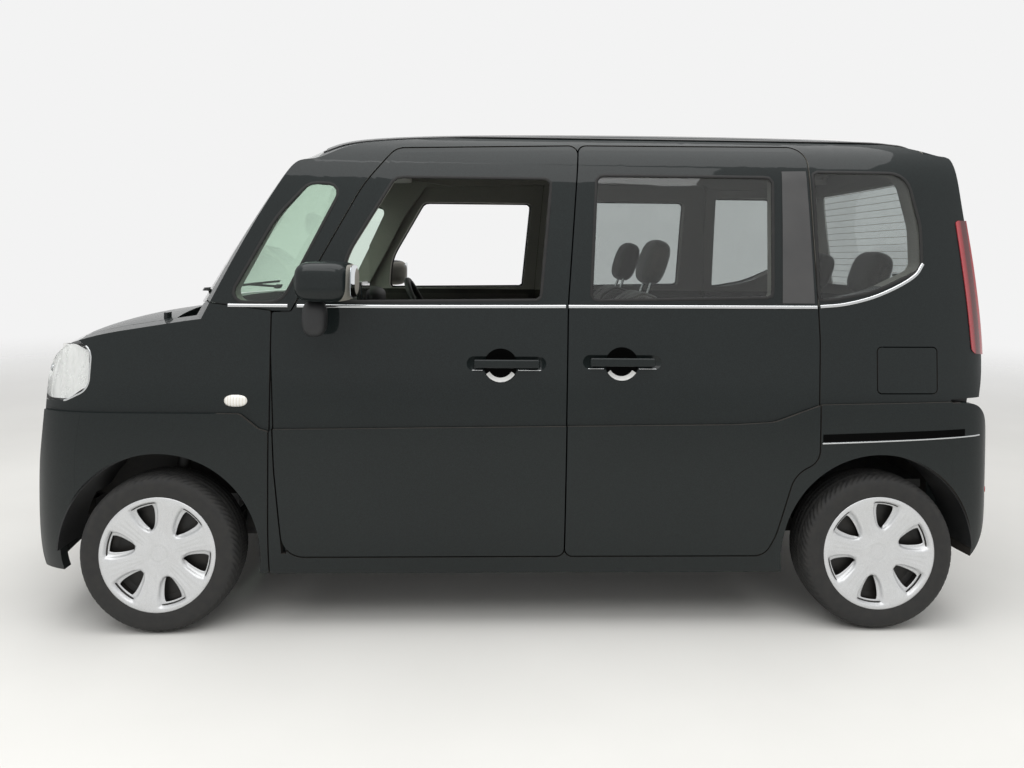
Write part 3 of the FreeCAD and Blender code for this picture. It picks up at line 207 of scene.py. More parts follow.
def facing_in(tree, place):
    """One where a face looks towards the middle of the cabin, nought where it looks out: its normal dotted with
    the way from that middle is under LOOKS_IN."""
    way = add(tree, "ShaderNodeTexCoord").outputs["Normal"]
    middle = add(tree, "ShaderNodeVectorMath", {0: place, 1: (1.0, 1.0, 1.0), 2: CABIN_MIDDLE},
                 operation="MULTIPLY_ADD")
    inward = add(tree, "ShaderNodeVectorMath", {0: way, 1: middle.outputs[0]}, operation="DOT_PRODUCT")
    looks_in = add(tree, "ShaderNodeMath", {0: inward.outputs["Value"], 1: LOOKS_IN}, operation="LESS_THAN")
    apart = add(tree, "ShaderNodeSeparateXYZ", {0: place})
    behind_cowl = add(tree, "ShaderNodeMath", {0: apart.outputs[0], 1: COWL_X}, operation="GREATER_THAN")
    both = {0: looks_in.outputs[0], 1: behind_cowl.outputs[0]}
    return add(tree, "ShaderNodeMath", both, operation="MULTIPLY").outputs[0]


def cabin_lining(tree, place):
    """Grey felted pillar trim and headliner above the belt, dark moulded trim below it."""
    height = add(tree, "ShaderNodeSeparateXYZ", {0: place}).outputs[2]
    above = add(tree, "ShaderNodeMath", {0: height, 1: BELT_Z}, operation="GREATER_THAN").outputs[0]
    fibre = textured(tree, place, "noise", 2, 6.0)
    felted = add(tree, "ShaderNodeValToRGB", {"Fac": fibre}, [(0.3, linear("#7F7C75")), (0.7, linear("#918E86"))])
    moulded = add(tree, "ShaderNodeValToRGB", {"Fac": textured(tree, place, "noise", 60)},
                  [(0.3, linear("#25221F")), (0.7, linear("#322E29"))])
    tone = add(tree, "ShaderNodeMix", {"Factor": above, "A": moulded.outputs["Color"], "B": felted.outputs["Color"]},
               data_type="RGBA")
    fluff = add(tree, "ShaderNodeBump", {"Height": fibre, "Distance": 0.1 / 1000})
    return add(tree, "ShaderNodeBsdfPrincipled", {"Base Color": tone.outputs["Result"], "Roughness": 0.85,
                                                  "Normal": fluff.outputs["Normal"]})


def pane(tint):
    """Float glass or clear acrylic of a tint: it bends what is behind it, and lets lamps through tinted."""
    def build(tree, place):
        streaks = add(tree, "ShaderNodeMapRange", {"Value": textured(tree, place, "noise", 350), "To Max": 0.003})
        glass = add(tree, "ShaderNodeBsdfPrincipled", {
            "Base Color": chosen(tint), "Roughness": streaks.outputs["Result"], "IOR": 1.45,
            "Transmission Weight": 1.0,
        })
        clear = add(tree, "ShaderNodeBsdfTransparent", {"Color": chosen(tint)})
        path = add(tree, "ShaderNodeLightPath")
        return add(tree, "ShaderNodeMixShader",
                   {0: path.outputs["Is Shadow Ray"], 1: glass.outputs[0], 2: clear.outputs[0]})
    return build


def heated_glass(tree, place):
    """Tinted glass with fired heater lines 1.2 mm high: a line is where the height's remainder after 30 mm steps
    is under 1.2 mm."""
    glass = pane("dark_tint")(tree, place)
    height = add(tree, "ShaderNodeSeparateXYZ", {0: place}).outputs[2]
    beat = add(tree, "ShaderNodeMath", {0: height, 1: 0.030}, operation="MODULO").outputs[0]
    line = add(tree, "ShaderNodeMath", {0: beat, 1: 0.0012}, operation="LESS_THAN").outputs[0]
    fired = add(tree, "ShaderNodeBsdfPrincipled", {"Base Color": linear("#7A6450"), "Roughness": 0.6})
    return add(tree, "ShaderNodeMixShader", {0: line, 1: glass.outputs[0], 2: fired.outputs[0]})


def side_panes(tree, place):
    """Green-tinted float glass in the front quarters, dark privacy glass behind them."""
    along = add(tree, "ShaderNodeSeparateXYZ", {0: place}).outputs[0]
    behind = add(tree, "ShaderNodeMath", {0: along, 1: PRIVACY_X}, operation="GREATER_THAN").outputs[0]
    green = pane("green_tint")(tree, place)
    dark = pane("dark_tint")(tree, place)
    return add(tree, "ShaderNodeMixShader", {0: behind, 1: green.outputs[0], 2: dark.outputs[0]})


def silver_paint(tree, place):
    """Silver lacquer on moulded ABS, with aluminium flakes and road film."""
    flakes = add(tree, "ShaderNodeTexVoronoi", {"Vector": place, "Scale": 1000 / 1.0})
    glint = add(tree, "ShaderNodeSeparateColor", {"Color": flakes.outputs["Color"]})
    tone = add(tree, "ShaderNodeValToRGB", {"Fac": glint.outputs[0]},
               [(0.0, chosen("cover_shade")), (1.0, chosen("cover_light"))])
    film = textured(tree, place, "noise", 40, 5.0)
    cover = add(tree, "ShaderNodeMapRange", {"Value": film, "To Min": -0.05, "To Max": 0.22})
    dirty = add(tree, "ShaderNodeMix", {"Factor": cover.outputs["Result"], "A": tone.outputs["Color"],
                                        "B": linear("#A8A59F")}, data_type="RGBA")
    dulled = add(tree, "ShaderNodeMapRange", {"Value": film, "To Min": 0.25, "To Max": 0.42})
    return add(tree, "ShaderNodeBsdfPrincipled", {
        "Base Color": dirty.outputs["Result"], "Metallic": 0.3, "Roughness": dulled.outputs["Result"],
        "Coat Weight": 0.4, "Coat Roughness": 0.12,
    })


def bright_metal(tree, place):
    """Rolled stainless strip, polished, with hairlines along the car."""
    stretch = add(tree, "ShaderNodeMapping", {"Vector": place, "Scale": (1, 60, 60)}).outputs["Vector"]
    lines = textured(tree, stretch, "noise", 30, 3.0)
    rough = add(tree, "ShaderNodeMapRange", {"Value": lines, "To Min": 0.14, "To Max": 0.26})
    return add(tree, "ShaderNodeBsdfPrincipled", {"Base Color": linear("#C9CBCC"), "Metallic": 1.0,
                                                  "Roughness": rough.outputs["Result"]})


# The tail lamp's bands from its front edge back, and how its front edge leans, as x = 1.684 - 0.08 z
TAIL_BANDS = ((0.0, "#B03A40"), (0.22, "#8E1A22"), (0.34, "#4E0A10"), (0.62, "#4E0A10"), (0.74, "#9C1620"),
              (1.0, "#A21822"))
TAIL_LEAN, TAIL_FRONT = 0.08, 1.684


def tail_lens(tree, place):
    """Red acrylic in upright bands that follow the lean of the lamp, the middle one dark over its bulbs."""
    apart = add(tree, "ShaderNodeSeparateXYZ", {0: place})
    leant = add(tree, "ShaderNodeMath", {0: apart.outputs[2], 1: TAIL_LEAN, 2: -TAIL_FRONT}, operation="MULTIPLY_ADD")
    across = add(tree, "ShaderNodeMath", {0: apart.outputs[0], 1: leant.outputs[0]}, operation="ADD")
    share = add(tree, "ShaderNodeMapRange", {"Value": across.outputs[0], "From Min": 0.0, "From Max": 0.06})
    tone = add(tree, "ShaderNodeValToRGB", {"Fac": share.outputs["Result"]},
               [(band, linear(code)) for band, code in TAIL_BANDS])
    relief = add(tree, "ShaderNodeBump", {"Height": textured(tree, place, "pillows", 6), "Distance": 0.12 / 1000})
    return add(tree, "ShaderNodeBsdfPrincipled", {
        "Base Color": tone.outputs["Color"], "Roughness": 0.12, "Coat Weight": 1.0, "Coat Roughness": 0.02,
        "Normal": relief.outputs["Normal"], "Subsurface Weight": 0.1, "Subsurface Radius": (0.01, 0.002, 0.002),
    })


def woven_cloth(tree, place):
    """Plain-weave polyester: two sets of threads, each a pitch apart, coarser than real so that it shows; the hollows
    between the threads are painted darker as shade.
    """
    scale = 1000 / bpy.context.scene.keicar_sizes.thread_pitch / RADIANS_A_WAVE
    warp, weft = [
        add(tree, "ShaderNodeTexWave", {"Vector": place, "Scale": scale, "Distortion": 0.4}, bands_direction=way)
        for way in ("Y", "DIAGONAL")
    ]
    both = {0: warp.outputs["Fac"], 1: weft.outputs["Fac"]}
    weave = add(tree, "ShaderNodeMath", both, operation="MULTIPLY").outputs[0]
    # Painted shade: darker where the weave is low, between the threads
    tone = add(tree, "ShaderNodeValToRGB", {"Fac": weave}, [(0.1, chosen("cloth_painted_shade")), (0.8, chosen("cloth_light"))])
    relief = add(tree, "ShaderNodeBump", {"Height": weave, "Distance": 0.35 / 1000})
    return add(tree, "ShaderNodeBsdfPrincipled", {
        "Base Color": tone.outputs["Color"], "Roughness": 0.92, "Sheen Weight": 0.4, "Sheen Roughness": 0.5,
        "Normal": relief.outputs["Normal"],
    })


def studio_floor(tree, place):
    """Pale sealed concrete that keeps the shadow and fades into the surroundings."""
    tone = add(tree, "ShaderNodeValToRGB", {"Fac": textured(tree, place, "noise", 900, 4.0)},
               [(0.35, linear("#E2E1DD")), (0.7, linear("#E7E6E2"))])
    ground = add(tree, "ShaderNodeBsdfPrincipled", {"Base Color": tone.outputs["Color"], "Roughness": 0.6})
    away = add(tree, "ShaderNodeVectorMath", {0: place}, operation="LENGTH").outputs["Value"]
    fade = add(tree, "ShaderNodeMapRange", {"Value": away, "From Min": 3.0, "From Max": 12.0},
               interpolation_type="SMOOTHSTEP").outputs["Result"]
    beyond = add(tree, "ShaderNodeBsdfTransparent")
    return add(tree, "ShaderNodeMixShader", {0: fade, 1: ground.outputs[0], 2: beyond.outputs[0]})


def coated_steel(first, second, roughness):
    """Pressed steel under a thin satin coat, with stone dust."""
    dust = ("noise", 30, 5.0)
    return layered((dust, 0.35, 0.7, first, second), (dust, roughness, roughness + 0.2), (("noise", 4), 0.05),
                   {"IOR": 1.5})


def soft_trim(first, second):
    """Slush-moulded soft plastic with a fine grain."""
    grain = ("grain", 1.2)
    return layered((("noise", 120), 0.3, 0.7, first, second), (grain, 0.6, 0.75), (grain, 0.05))


def plain_gloss(code, roughness, coat=0.6):
    """Gloss moulding or enamel, with a film of fine dust that dulls it in patches."""
    film = ("noise", 80, 5.0)
    dusty = [0.9 * own + 0.1 * dust for own, dust in zip(linear(code), linear("#8C8A85"))]
    return layered((film, 0.0, 1.0, linear(code), dusty), (film, roughness, roughness + 0.12), None,
                   {"Coat Weight": coat, "Coat Roughness": 0.06})


LENS_SOCKETS = {"Coat Weight": 1.0, "Coat Roughness": 0.02}
FINISHES = {
    "pearl_paint": pearl_paint,
    # Moulded polypropylene with a leather-like grain, satin where it is raised
    "grained_black_plastic": layered((("noise", 60), 0.3, 0.7, "#1B1C1D", "#242526"), (("grain", 1.4), 0.5, 0.68),
                                     (("grain", 1.4), 0.06), {"IOR": 1.49}),
    # Laminated float glass, faintly green
    "clear_green_glass": pane("green_tint"),
    "side_panes": side_panes,
    "heated_privacy_glass": heated_glass,
    # Moulded acrylic over the headlamp
    "clear_acrylic": pane("lamp_tint"),
    # Vulcanised rubber, matt, and dusty where it has rolled
    "tyre_rubber": layered((("noise", 25, 6.0), 0.35, 0.75, "#1A1A1A", "#2C2B29"), (("noise", 25, 6.0), 0.62, 0.9),
                           (("noise", 1.5), 0.08), {"IOR": 1.52}),
    "silver_lacquer": silver_paint,
    # Electrocoated steel, black on the wheels and arms, grey under the floor
    "black_coated_steel": coated_steel("#141414", "#26231F", 0.45),
    "grey_coated_steel": coated_steel("#26282A", "#3A3835", 0.5),
    # Bare stainless pipe browned by heat, and cast aluminium left as it came, both with road dust
    "weathered_exhaust_steel": coated_steel("#6B655C", "#8A8378", 0.4),
    "cast_aluminium": coated_steel("#7E7F80", "#98989A", 0.5),
    "polished_steel": bright_metal,
    # Moulded acrylic with pillow optics behind a gloss face
    "red_acrylic": layered((("pillows", 6), 0.1, 0.7, "#D02027", "#8E0E14"), 0.12, (("pillows", 6), 0.25),
                           {**LENS_SOCKETS, "Subsurface Weight": 0.15, "Subsurface Radius": (0.01, 0.002, 0.002)}),
    "banded_red_acrylic": tail_lens,
    # Vacuum-metallised moulding, faintly milky
    "aluminised": layered("#F0F0EE", (("noise", 25, 3.0), 0.18, 0.34), None, {"Metallic": 0.35}),
    "seat_cloth": woven_cloth,
    "dash_plastic": soft_trim("#1E1D1C", "#2A2826"),
    "trim_brown": soft_trim("#2B2723", "#37322C"),
    # Bright zinc plate on steel, with faint yellow passivation clouds
    "zinc_plated_steel": layered((("noise", 12, 3.0), 0.3, 0.7, "#A9ABA8", "#BDB9A6"), (("noise", 12, 3.0), 0.3, 0.48),
                                 None, {"Metallic": 1.0}),
    # Extruded rubber, nearly black and paler where it is dusty
    "sponge_rubber": layered((("noise", 40, 4.0), 0.4, 0.8, "#161616", "#232322"), (("noise", 40, 4.0), 0.7, 0.85),
                             (("noise", 2), 0.05), {"IOR": 1.5}),
    "bright_moulding": bright_metal,
    # Black vinyl film with a satin face, and ABS moulded with a polished face
    "satin_black_film": plain_gloss("#303031", 0.3, 0.3),
    "gloss_black": plain_gloss("#0E0E0F", 0.15),
    # Near-black flock-like sheet, painted shade laid in the rail's groove and in the handles' bowls: it sends almost
    # nothing back
    "black_flock": layered((("noise", 1.5, 6.0), 0.3, 0.7, "#030303", "#090909"), 0.95, (("noise", 1.5, 6.0), 0.1),
                           {"Specular IOR Level": 0.05}),
    # A pale film that paints the highlight on the lower lip of each handle's bowl, a switched-off panel of glass, and
    # white baked enamel on aluminium
    "scuff_film": plain_gloss("#DCDCDA", 0.3, 0.4),
    "screen_glass": plain_gloss("#39424A", 0.05, 1.0),
    "enamelled_plate": plain_gloss("#D9D8D2", 0.3, 0.3),
    # Clear acrylic over moulded flutes, a warm bulb colour behind
    "amber_clear_lens": layered((("flutes", 5), 0.0, 1.0, "#F4F3F0", "#E2DDD2"), 0.1, (("flutes", 5), 0.4),
                                LENS_SOCKETS),
    # Needle-punched felt, short fibres with a soft edge glow
    "headliner_felt": layered((("noise", 2, 8.0), 0.3, 0.7, "#8F8B83", "#A19D94"), 0.95, (("noise", 2, 8.0), 0.3),
                              {"Sheen Weight": 0.3}),
    # Silvered glass, very slightly blue
    "mirror_silver": layered("#C9D0D4", (("noise", 60), 0.01, 0.05), None, {"Metallic": 1.0}),
}
MADE = {}


def finish_named(name):
    """The material of that name, made the first time that it is asked for."""
    if name not in MADE:
        MADE[name] = material(name, FINISHES[name])
    return MADE[name]


def at_corners(kind):
    """The names of a kind of node at the four wheels."""
    return " ".join(f"{kind}_{end}_{side}" for end in ("front", "rear") for side in SIDES)


# What each CAD node is finished in
NODE_FINISH = {
    "pearl_paint": "body_shell roof_panel front_fenders front_bumper rear_bumper sliding_doors "
                   "sliding_door_handles front_door_left front_door_right front_handle_left front_handle_right "
                   "door_mirror_left door_mirror_right bonnet tailgate fuel_lid",
    "grained_black_plastic": "front_grille wheel_arch_liners wipers rear_wiper",
    "dash_plastic": "dashboard steering_wheel",
    "clear_green_glass": "windscreen",
    "side_panes": "side_glass",
    "heated_privacy_glass": "tailgate_glass",
    "clear_acrylic": "headlamps",
    "banded_red_acrylic": "tail_lamps",
    "tyre_rubber": at_corners("tyre"),
    "silver_lacquer": at_corners("wheel_cover"),
    "black_coated_steel": at_corners("wheel") + " front_suspension rear_axle knuckle_left knuckle_right engine_bay",
    "grey_coated_steel": "floor_pan fuel_tank",
    "cast_aluminium": "engine_block",
    "weathered_exhaust_steel": "exhaust",
    "seat_cloth": "front_seats rear_seats",
}


def finish_nodes():
    """Clears each CAD node's slots and gives it its one finish."""
    for finish, names in NODE_FINISH.items():
        for name in names.split():
            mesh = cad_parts[name].data
            mesh.materials.clear()
            mesh.materials.append(finish_named(finish))


# Mesh helpers
def quads(rows, cols, closed_rows=False, closed_cols=False):
    """Faces of a grid of points kept row by row, joined round where it closes."""
    row, col = np.meshgrid(np.arange(rows - (not closed_rows)), np.arange(cols - (not closed_cols)), indexing="ij")
    below, beside = (row + 1) % rows, (col + 1) % cols
    corners = [row * cols + col, row * cols + beside, below * cols + beside, below * cols + col]
    return np.stack(corners, -1).reshape(-1, 4)


def settle(mesh):
    """Merges doubled points and turns the faces outward."""
    shape = bmesh.new()
    shape.from_mesh(mesh)
    bmesh.ops.remove_doubles(shape, verts=shape.verts, dist=2e-6)
    bmesh.ops.recalc_face_normals(shape, faces=shape.faces)
    shape.to_mesh(mesh)
    shape.free()


def put(name, points, faces, finish, body="chassis", wall=0.0, sharp=0.0):
    """A new piece from points and faces, smooth but for edges sharper than sharp degrees, with an optional wall
    inward."""
    mesh = bpy.data.meshes.new(name)
    faces = faces if isinstance(faces, list) else faces.tolist()
    mesh.from_pydata(np.reshape(points, (-1, 3)).tolist(), [], faces)
    settle(mesh)
    mesh.polygons.foreach_set("use_smooth", np.ones(len(mesh.polygons), bool))
    if sharp:
        mesh.set_sharp_from_angle(angle=math.radians(sharp))
    mesh.materials.append(finish_named(finish))
    piece = bpy.data.objects.new(name, mesh)
    bpy.context.scene.collection.objects.link(piece)
    if wall:
        solid = piece.modifiers.new("wall", "SOLIDIFY")
        solid.thickness = wall
        solid.offset = -1
    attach(piece, body)
    return piece


def put_rings(name, grids, finish, body="chassis"):
    """One piece from grids of points, each joined round along its rows."""
    faces, start = [], 0
    for grid in grids:
        faces.append(quads(*grid.shape[:2], closed_cols=True) + start)
        start += grid.shape[0] * grid.shape[1]
    points = np.concatenate([grid.reshape(-1, 3) for grid in grids])
    return put(name, points, np.concatenate(faces), finish, body)


def full_turn(count):
    """Angles evenly spread round a circle, the first at nought."""
    return np.linspace(0, 2 * np.pi, count, endpoint=False)


def smooth_line(points, count):
    """count points on a cubic through the given ones, evenly spread by length (Catmull-Rom)."""
    p = np.asarray(points, float)
    p = np.vstack([2 * p[0] - p[1], p, 2 * p[-1] - p[-2]])
    at = np.linspace(0, len(p) - 3 - 1e-9, 40 * len(p))
    i = at.astype(int)
    t = (at - i)[:, None]
    a, b, c, d = p[i], p[i + 1], p[i + 2], p[i + 3]
    fine = 0.5 * (2 * b + (c - a) * t + (2 * a - 5 * b + 4 * c - d) * t ** 2 + (3 * b - a - 3 * c + d) * t ** 3)
    far = np.concatenate([[0], np.cumsum(np.linalg.norm(np.diff(fine, axis=0), axis=1))])
    even = np.linspace(0, far[-1], count)
    return np.stack([np.interp(even, far, fine[:, k]) for k in range(p.shape[1])], -1)


def cubic_table(table, x):
    """A smooth curve through a table of (place, value) pairs, by cubic Hermite pieces."""
    at, value = np.asarray(table, float).T
    slope = np.gradient(value, at)
    i = np.clip(np.searchsorted(at, x) - 1, 0, len(at) - 2)
    step = at[i + 1] - at[i]
    t = (x - at[i]) / step
    return ((2 * t ** 3 - 3 * t ** 2 + 1) * value[i] + (t ** 3 - 2 * t ** 2 + t) * step * slope[i]
            + (3 * t ** 2 - 2 * t ** 3) * value[i + 1] + (t ** 3 - t ** 2) * step * slope[i + 1])


def skin(x, z, side, proud=0.0):
    """The y of the car's side: half the width less the lean at z and the turn-in at x, plus how far it stands proud."""
    inward = (cubic_table(LEAN, z) + cubic_table(TURN_IN, x)) / 1000
    return side * (SIDE - inward + proud)


def outline(corners, per_corner=8):
    """A closed side-view line of straight runs with an arc in each corner, from (x, z, radius)."""
    arcs = []
    count = len(corners)
    for i in range(count):
        here = np.array(corners[i][:2])
        radius = corners[i][2]
        before, after = np.array(corners[i - 1][:2]) - here, np.array(corners[(i + 1) % count][:2]) - here
        before, after = before / np.linalg.norm(before), after / np.linalg.norm(after)
        half = math.acos(np.clip(before @ after, -1, 1)) / 2
        middle = (before + after) / np.linalg.norm(before + after)
        centre = here + middle * radius / math.sin(half)
        start = here + before * radius / math.tan(half) - centre
        stop = here + after * radius / math.tan(half) - centre
        turn = np.linspace(0, 1, per_corner)[:, None]
        arc = start * (1 - turn) + stop * turn
        arcs.append(centre + arc / np.linalg.norm(arc, axis=1)[:, None] * radius)
    return np.vstack(arcs)


def spaced(line, pitch, closed=False):
    """The same line with points about a pitch apart, straight between the given ones."""
    p = np.vstack([line, line[:1]]) if closed else np.asarray(line, float)
    far = np.concatenate([[0], np.cumsum(np.linalg.norm(np.diff(p, axis=0), axis=1))])
    even = np.linspace(0, far[-1], max(int(far[-1] / pitch), 3) + 1)
    if closed:
        even = even[:-1]
    return np.stack([np.interp(even, far, p[:, k]) for k in range(p.shape[1])], -1)


def side_strip(name, line, height, proud, finish, side, body="chassis", closed=False, low=-0.002,
               shape=0.5):
    """A strip that follows the car's side along an (x, z) line: across it, an arch (1 - |s|^(2/shape))^shape of the
    given height, from low below the skin to proud of it, closed by a flat back a millimetre behind."""
    ahead = np.roll(line, -1, 0) - np.roll(line, 1, 0)
    if not closed:
        ahead[0], ahead[-1] = line[1] - line[0], line[-1] - line[-2]
    ahead = ahead / np.linalg.norm(ahead, axis=1)[:, None]
    across = np.stack([-ahead[:, 1], ahead[:, 0]], -1)
    s = np.linspace(-1, 1, 9)
    flat = line[:, None, :] + across[:, None, :] * (s[None, :, None] * height / 2)
    arch = low + (proud - low) * (1 - np.abs(s) ** (2 / shape)) ** shape
    y = skin(flat[..., 0], flat[..., 1], side) + side * arch[None, :]
    points = np.stack([flat[..., 0], y, flat[..., 1]], -1)
    back = points[:, [8, 0]].copy()
    back[..., 1] -= side * 0.001
    points = np.concatenate([points, back], 1)
    rows, cols = points.shape[:2]
    faces = quads(rows, cols, closed_rows=closed, closed_cols=True)
    if closed:
        return put(name, points, faces, finish, body)
    last = (rows - 1) * cols
    ends = [list(range(cols)), list(range(last + cols - 1, last - 1, -1))]
    return put(name, points, faces.tolist() + ends, finish, body, sharp=50)


def side_panel(name, corners, proud, finish, side, thick=0.003):
    """A thin panel that follows the side between four (x, z) corners a, b, c, d: a point is the mix of a and b by u,
    and of d and c by u, mixed by v."""
    u, v = np.meshgrid(np.linspace(0, 1, 24), np.linspace(0, 1, 16), indexing="ij")
    a, b, c, d = [np.array(corner) for corner in corners]
    u, v = u[..., None], v[..., None]
    flat = (a * (1 - u) + b * u) * (1 - v) + (d * (1 - u) + c * u) * v
    y = skin(flat[..., 0], flat[..., 1], side, proud)
    outer = np.stack([flat[..., 0], y, flat[..., 1]], -1)
    return put_slab(name, outer, (0, -side * thick, 0), finish, "chassis")


def put_slab(name, sheet, down, finish, body="chassis"):
    """A sheet of grid points given a thickness: the same grid moved by down, with walls round the rim."""
    rows, cols = sheet.shape[:2]
    points = np.concatenate([sheet.reshape(-1, 3), (sheet + np.array(down)).reshape(-1, 3)])
    top = quads(rows, cols)
    count = rows * cols
    rim = np.concatenate([
        np.arange(cols - 1), np.arange(cols - 1, count - 1, cols), np.arange(count - 1, count - cols, -1),
        np.arange(count - cols, 0, -cols),
    ])
    following = np.roll(rim, -1)
    walls = np.stack([rim, rim + count, following + count, following], -1)
    return put(name, points, np.concatenate([top, top[:, ::-1] + count, walls]), finish, body, sharp=45)


def turned(profile, centre, turns, side=1.0):
    """A profile of (radius, y) turned about a wheel's axle, as a grid: profile by angle."""
    angle = full_turn(turns)
    r, y = profile[:, :1], profile[:, 1:]
    return np.stack([centre[0] + r * np.cos(angle), centre[1] + side * y + 0 * angle,
                     centre[2] + r * np.sin(angle)], -1)


def rise(x, low, high):
    """Nought below low, one above high, smooth between."""
    t = np.clip((x - low) / (high - low), 0, 1)
    return t * t * (3 - 2 * t)


def crowned(centre, size, power, rows=24, cols=40):
    """A crowned closed form: a superellipsoid, |x/a|^p + |y/b|^p + |z/c|^p = 1, from its two angles."""
    a = np.linspace(-np.pi / 2, np.pi / 2, rows)[:, None]
    b = np.linspace(-np.pi, np.pi, cols, endpoint=False)[None, :]
    ways = np.stack([np.cos(a) * np.cos(b), np.cos(a) * np.sin(b), np.sin(a) + 0 * b], -1)
    reach = (np.abs(ways) ** power).sum(-1) ** (-1 / power)
    return ways * reach[..., None] * np.array(size) / 2 + np.array(centre)


def put_crowned(name, centre, size, power, finish, body="chassis", rows=24, cols=40):
    """A piece that is one crowned form."""
    return put_rings(name, [crowned(centre, size, power, rows, cols)], finish, body)


# Wheels
WHEELS = {
    (end, side): (x, SIDES[side] * track / 2, AXLE_HEIGHT)
    for end, x, track in (("front", FRONT_AXLE, 1.295), ("rear", REAR_AXLE, 1.300)) for side in SIDES
}
TYRE_SECTION = np.array([
    (0.1814, -0.0600), (0.1840, -0.0665), (0.1960, -0.0735), (0.2120, -0.0765), (0.2280, -0.0772),
    (0.2440, -0.0752), (0.2550, -0.0700), (0.2622, -0.0600), (0.2660, -0.0480), (0.2684, -0.0250), (0.2690, 0.0),
])
TREAD_SLOTS = 72
GROOVE_DEPTH, SLOT_DEPTH, SIPE_DEPTH, RIB_HEIGHT = 0.0065, 0.0045, 0.003, 0.0004


def build_tyre(end, side):
    """Radius and width of the section turned round the axle. The tread sinks by four rings of grooves, by 72
    slanted slots a turn at each shoulder and by twice as many sipes across its middle; fine ribs run round the
    side wall."""
    half = smooth_line(TYRE_SECTION, 40)
    section = np.vstack([half, half[-2::-1] * [1, -1]])
    angle = full_turn(6 * TREAD_SLOTS)[None, :]
    r, y = section[:, :1], section[:, 1:]
    rings = sum(np.exp(-((np.abs(y) - g) / 0.0030) ** 4) for g in (0.0110, 0.0340))
    tread = rise(r, 0.2655, 0.2675)
    phase = (angle * TREAD_SLOTS / (2 * np.pi) + y * 60) % 1
    slots = np.exp(-((phase - 0.5) / 0.15) ** 4) * rise(r, 0.2490, 0.2560) * rise(np.abs(y), 0.0400, 0.0440)
    sipes = np.exp(-((phase * 2 % 1 - 0.5) / 0.10) ** 4) * tread * (1 - rise(np.abs(y), 0.0290, 0.0310))
    ribs = np.cos((r - 0.2) * 2 * np.pi / 0.004) * rise(r, 0.231, 0.236) * (1 - rise(r, 0.244, 0.249))
    sink = GROOVE_DEPTH * rings * tread + SLOT_DEPTH * slots + SIPE_DEPTH * sipes + RIB_HEIGHT * ribs
    lean = rise(r, 0.235, 0.262)
    centre = WHEELS[end, side]
    radius = r - sink * lean
    along = y - np.sign(y) * sink * (1 - lean)
    points = np.stack([centre[0] + radius * np.cos(angle), centre[1] + along + 0 * angle,
                       centre[2] + radius * np.sin(angle)], -1)
    body = f"wheel_unit_{end}_{side}"
    faces = quads(*points.shape[:2], closed_rows=True, closed_cols=True)
    tyre = put(f"tread_tyre_{end}_{side}", points, faces, "tyre_rubber", body)
    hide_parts(f"tyre_{end}_{side}")


# The turn of each cover on its wheel, as the middle of one opening; its dish as (radius in mm, how far out); the
# radii in mm at which its openings start and end, and their greatest half-width in degrees; the share of each
# sixth's columns that lies in the opening; how deep its wells, creases and flats are, and how far it is off the wheel
COVER_TURN = {("front", "left"): 48, ("rear", "left"): 20, ("front", "right"): 20, ("rear", "right"): 48}
COVER_DISH = np.array([
    (0, 0.0600), (20, 0.0600), (25.5, 0.0600), (27, 0.0590), (28.5, 0.0602), (40, 0.0608), (60, 0.0612), (90, 0.0625),
    (120, 0.0650), (150, 0.0680), (170, 0.0700), (186, 0.0702), (194, 0.0690),
])
OPEN_FROM, OPEN_TO, OPEN_HALF = 84, 166, 11.2
OPEN_SHARE = 0.3125
WELL_DEPTH, CREASE_DEPTH, FLAT_DEPTH, COVER_OFF = 0.016, 0.0016, 0.0014, 0.005


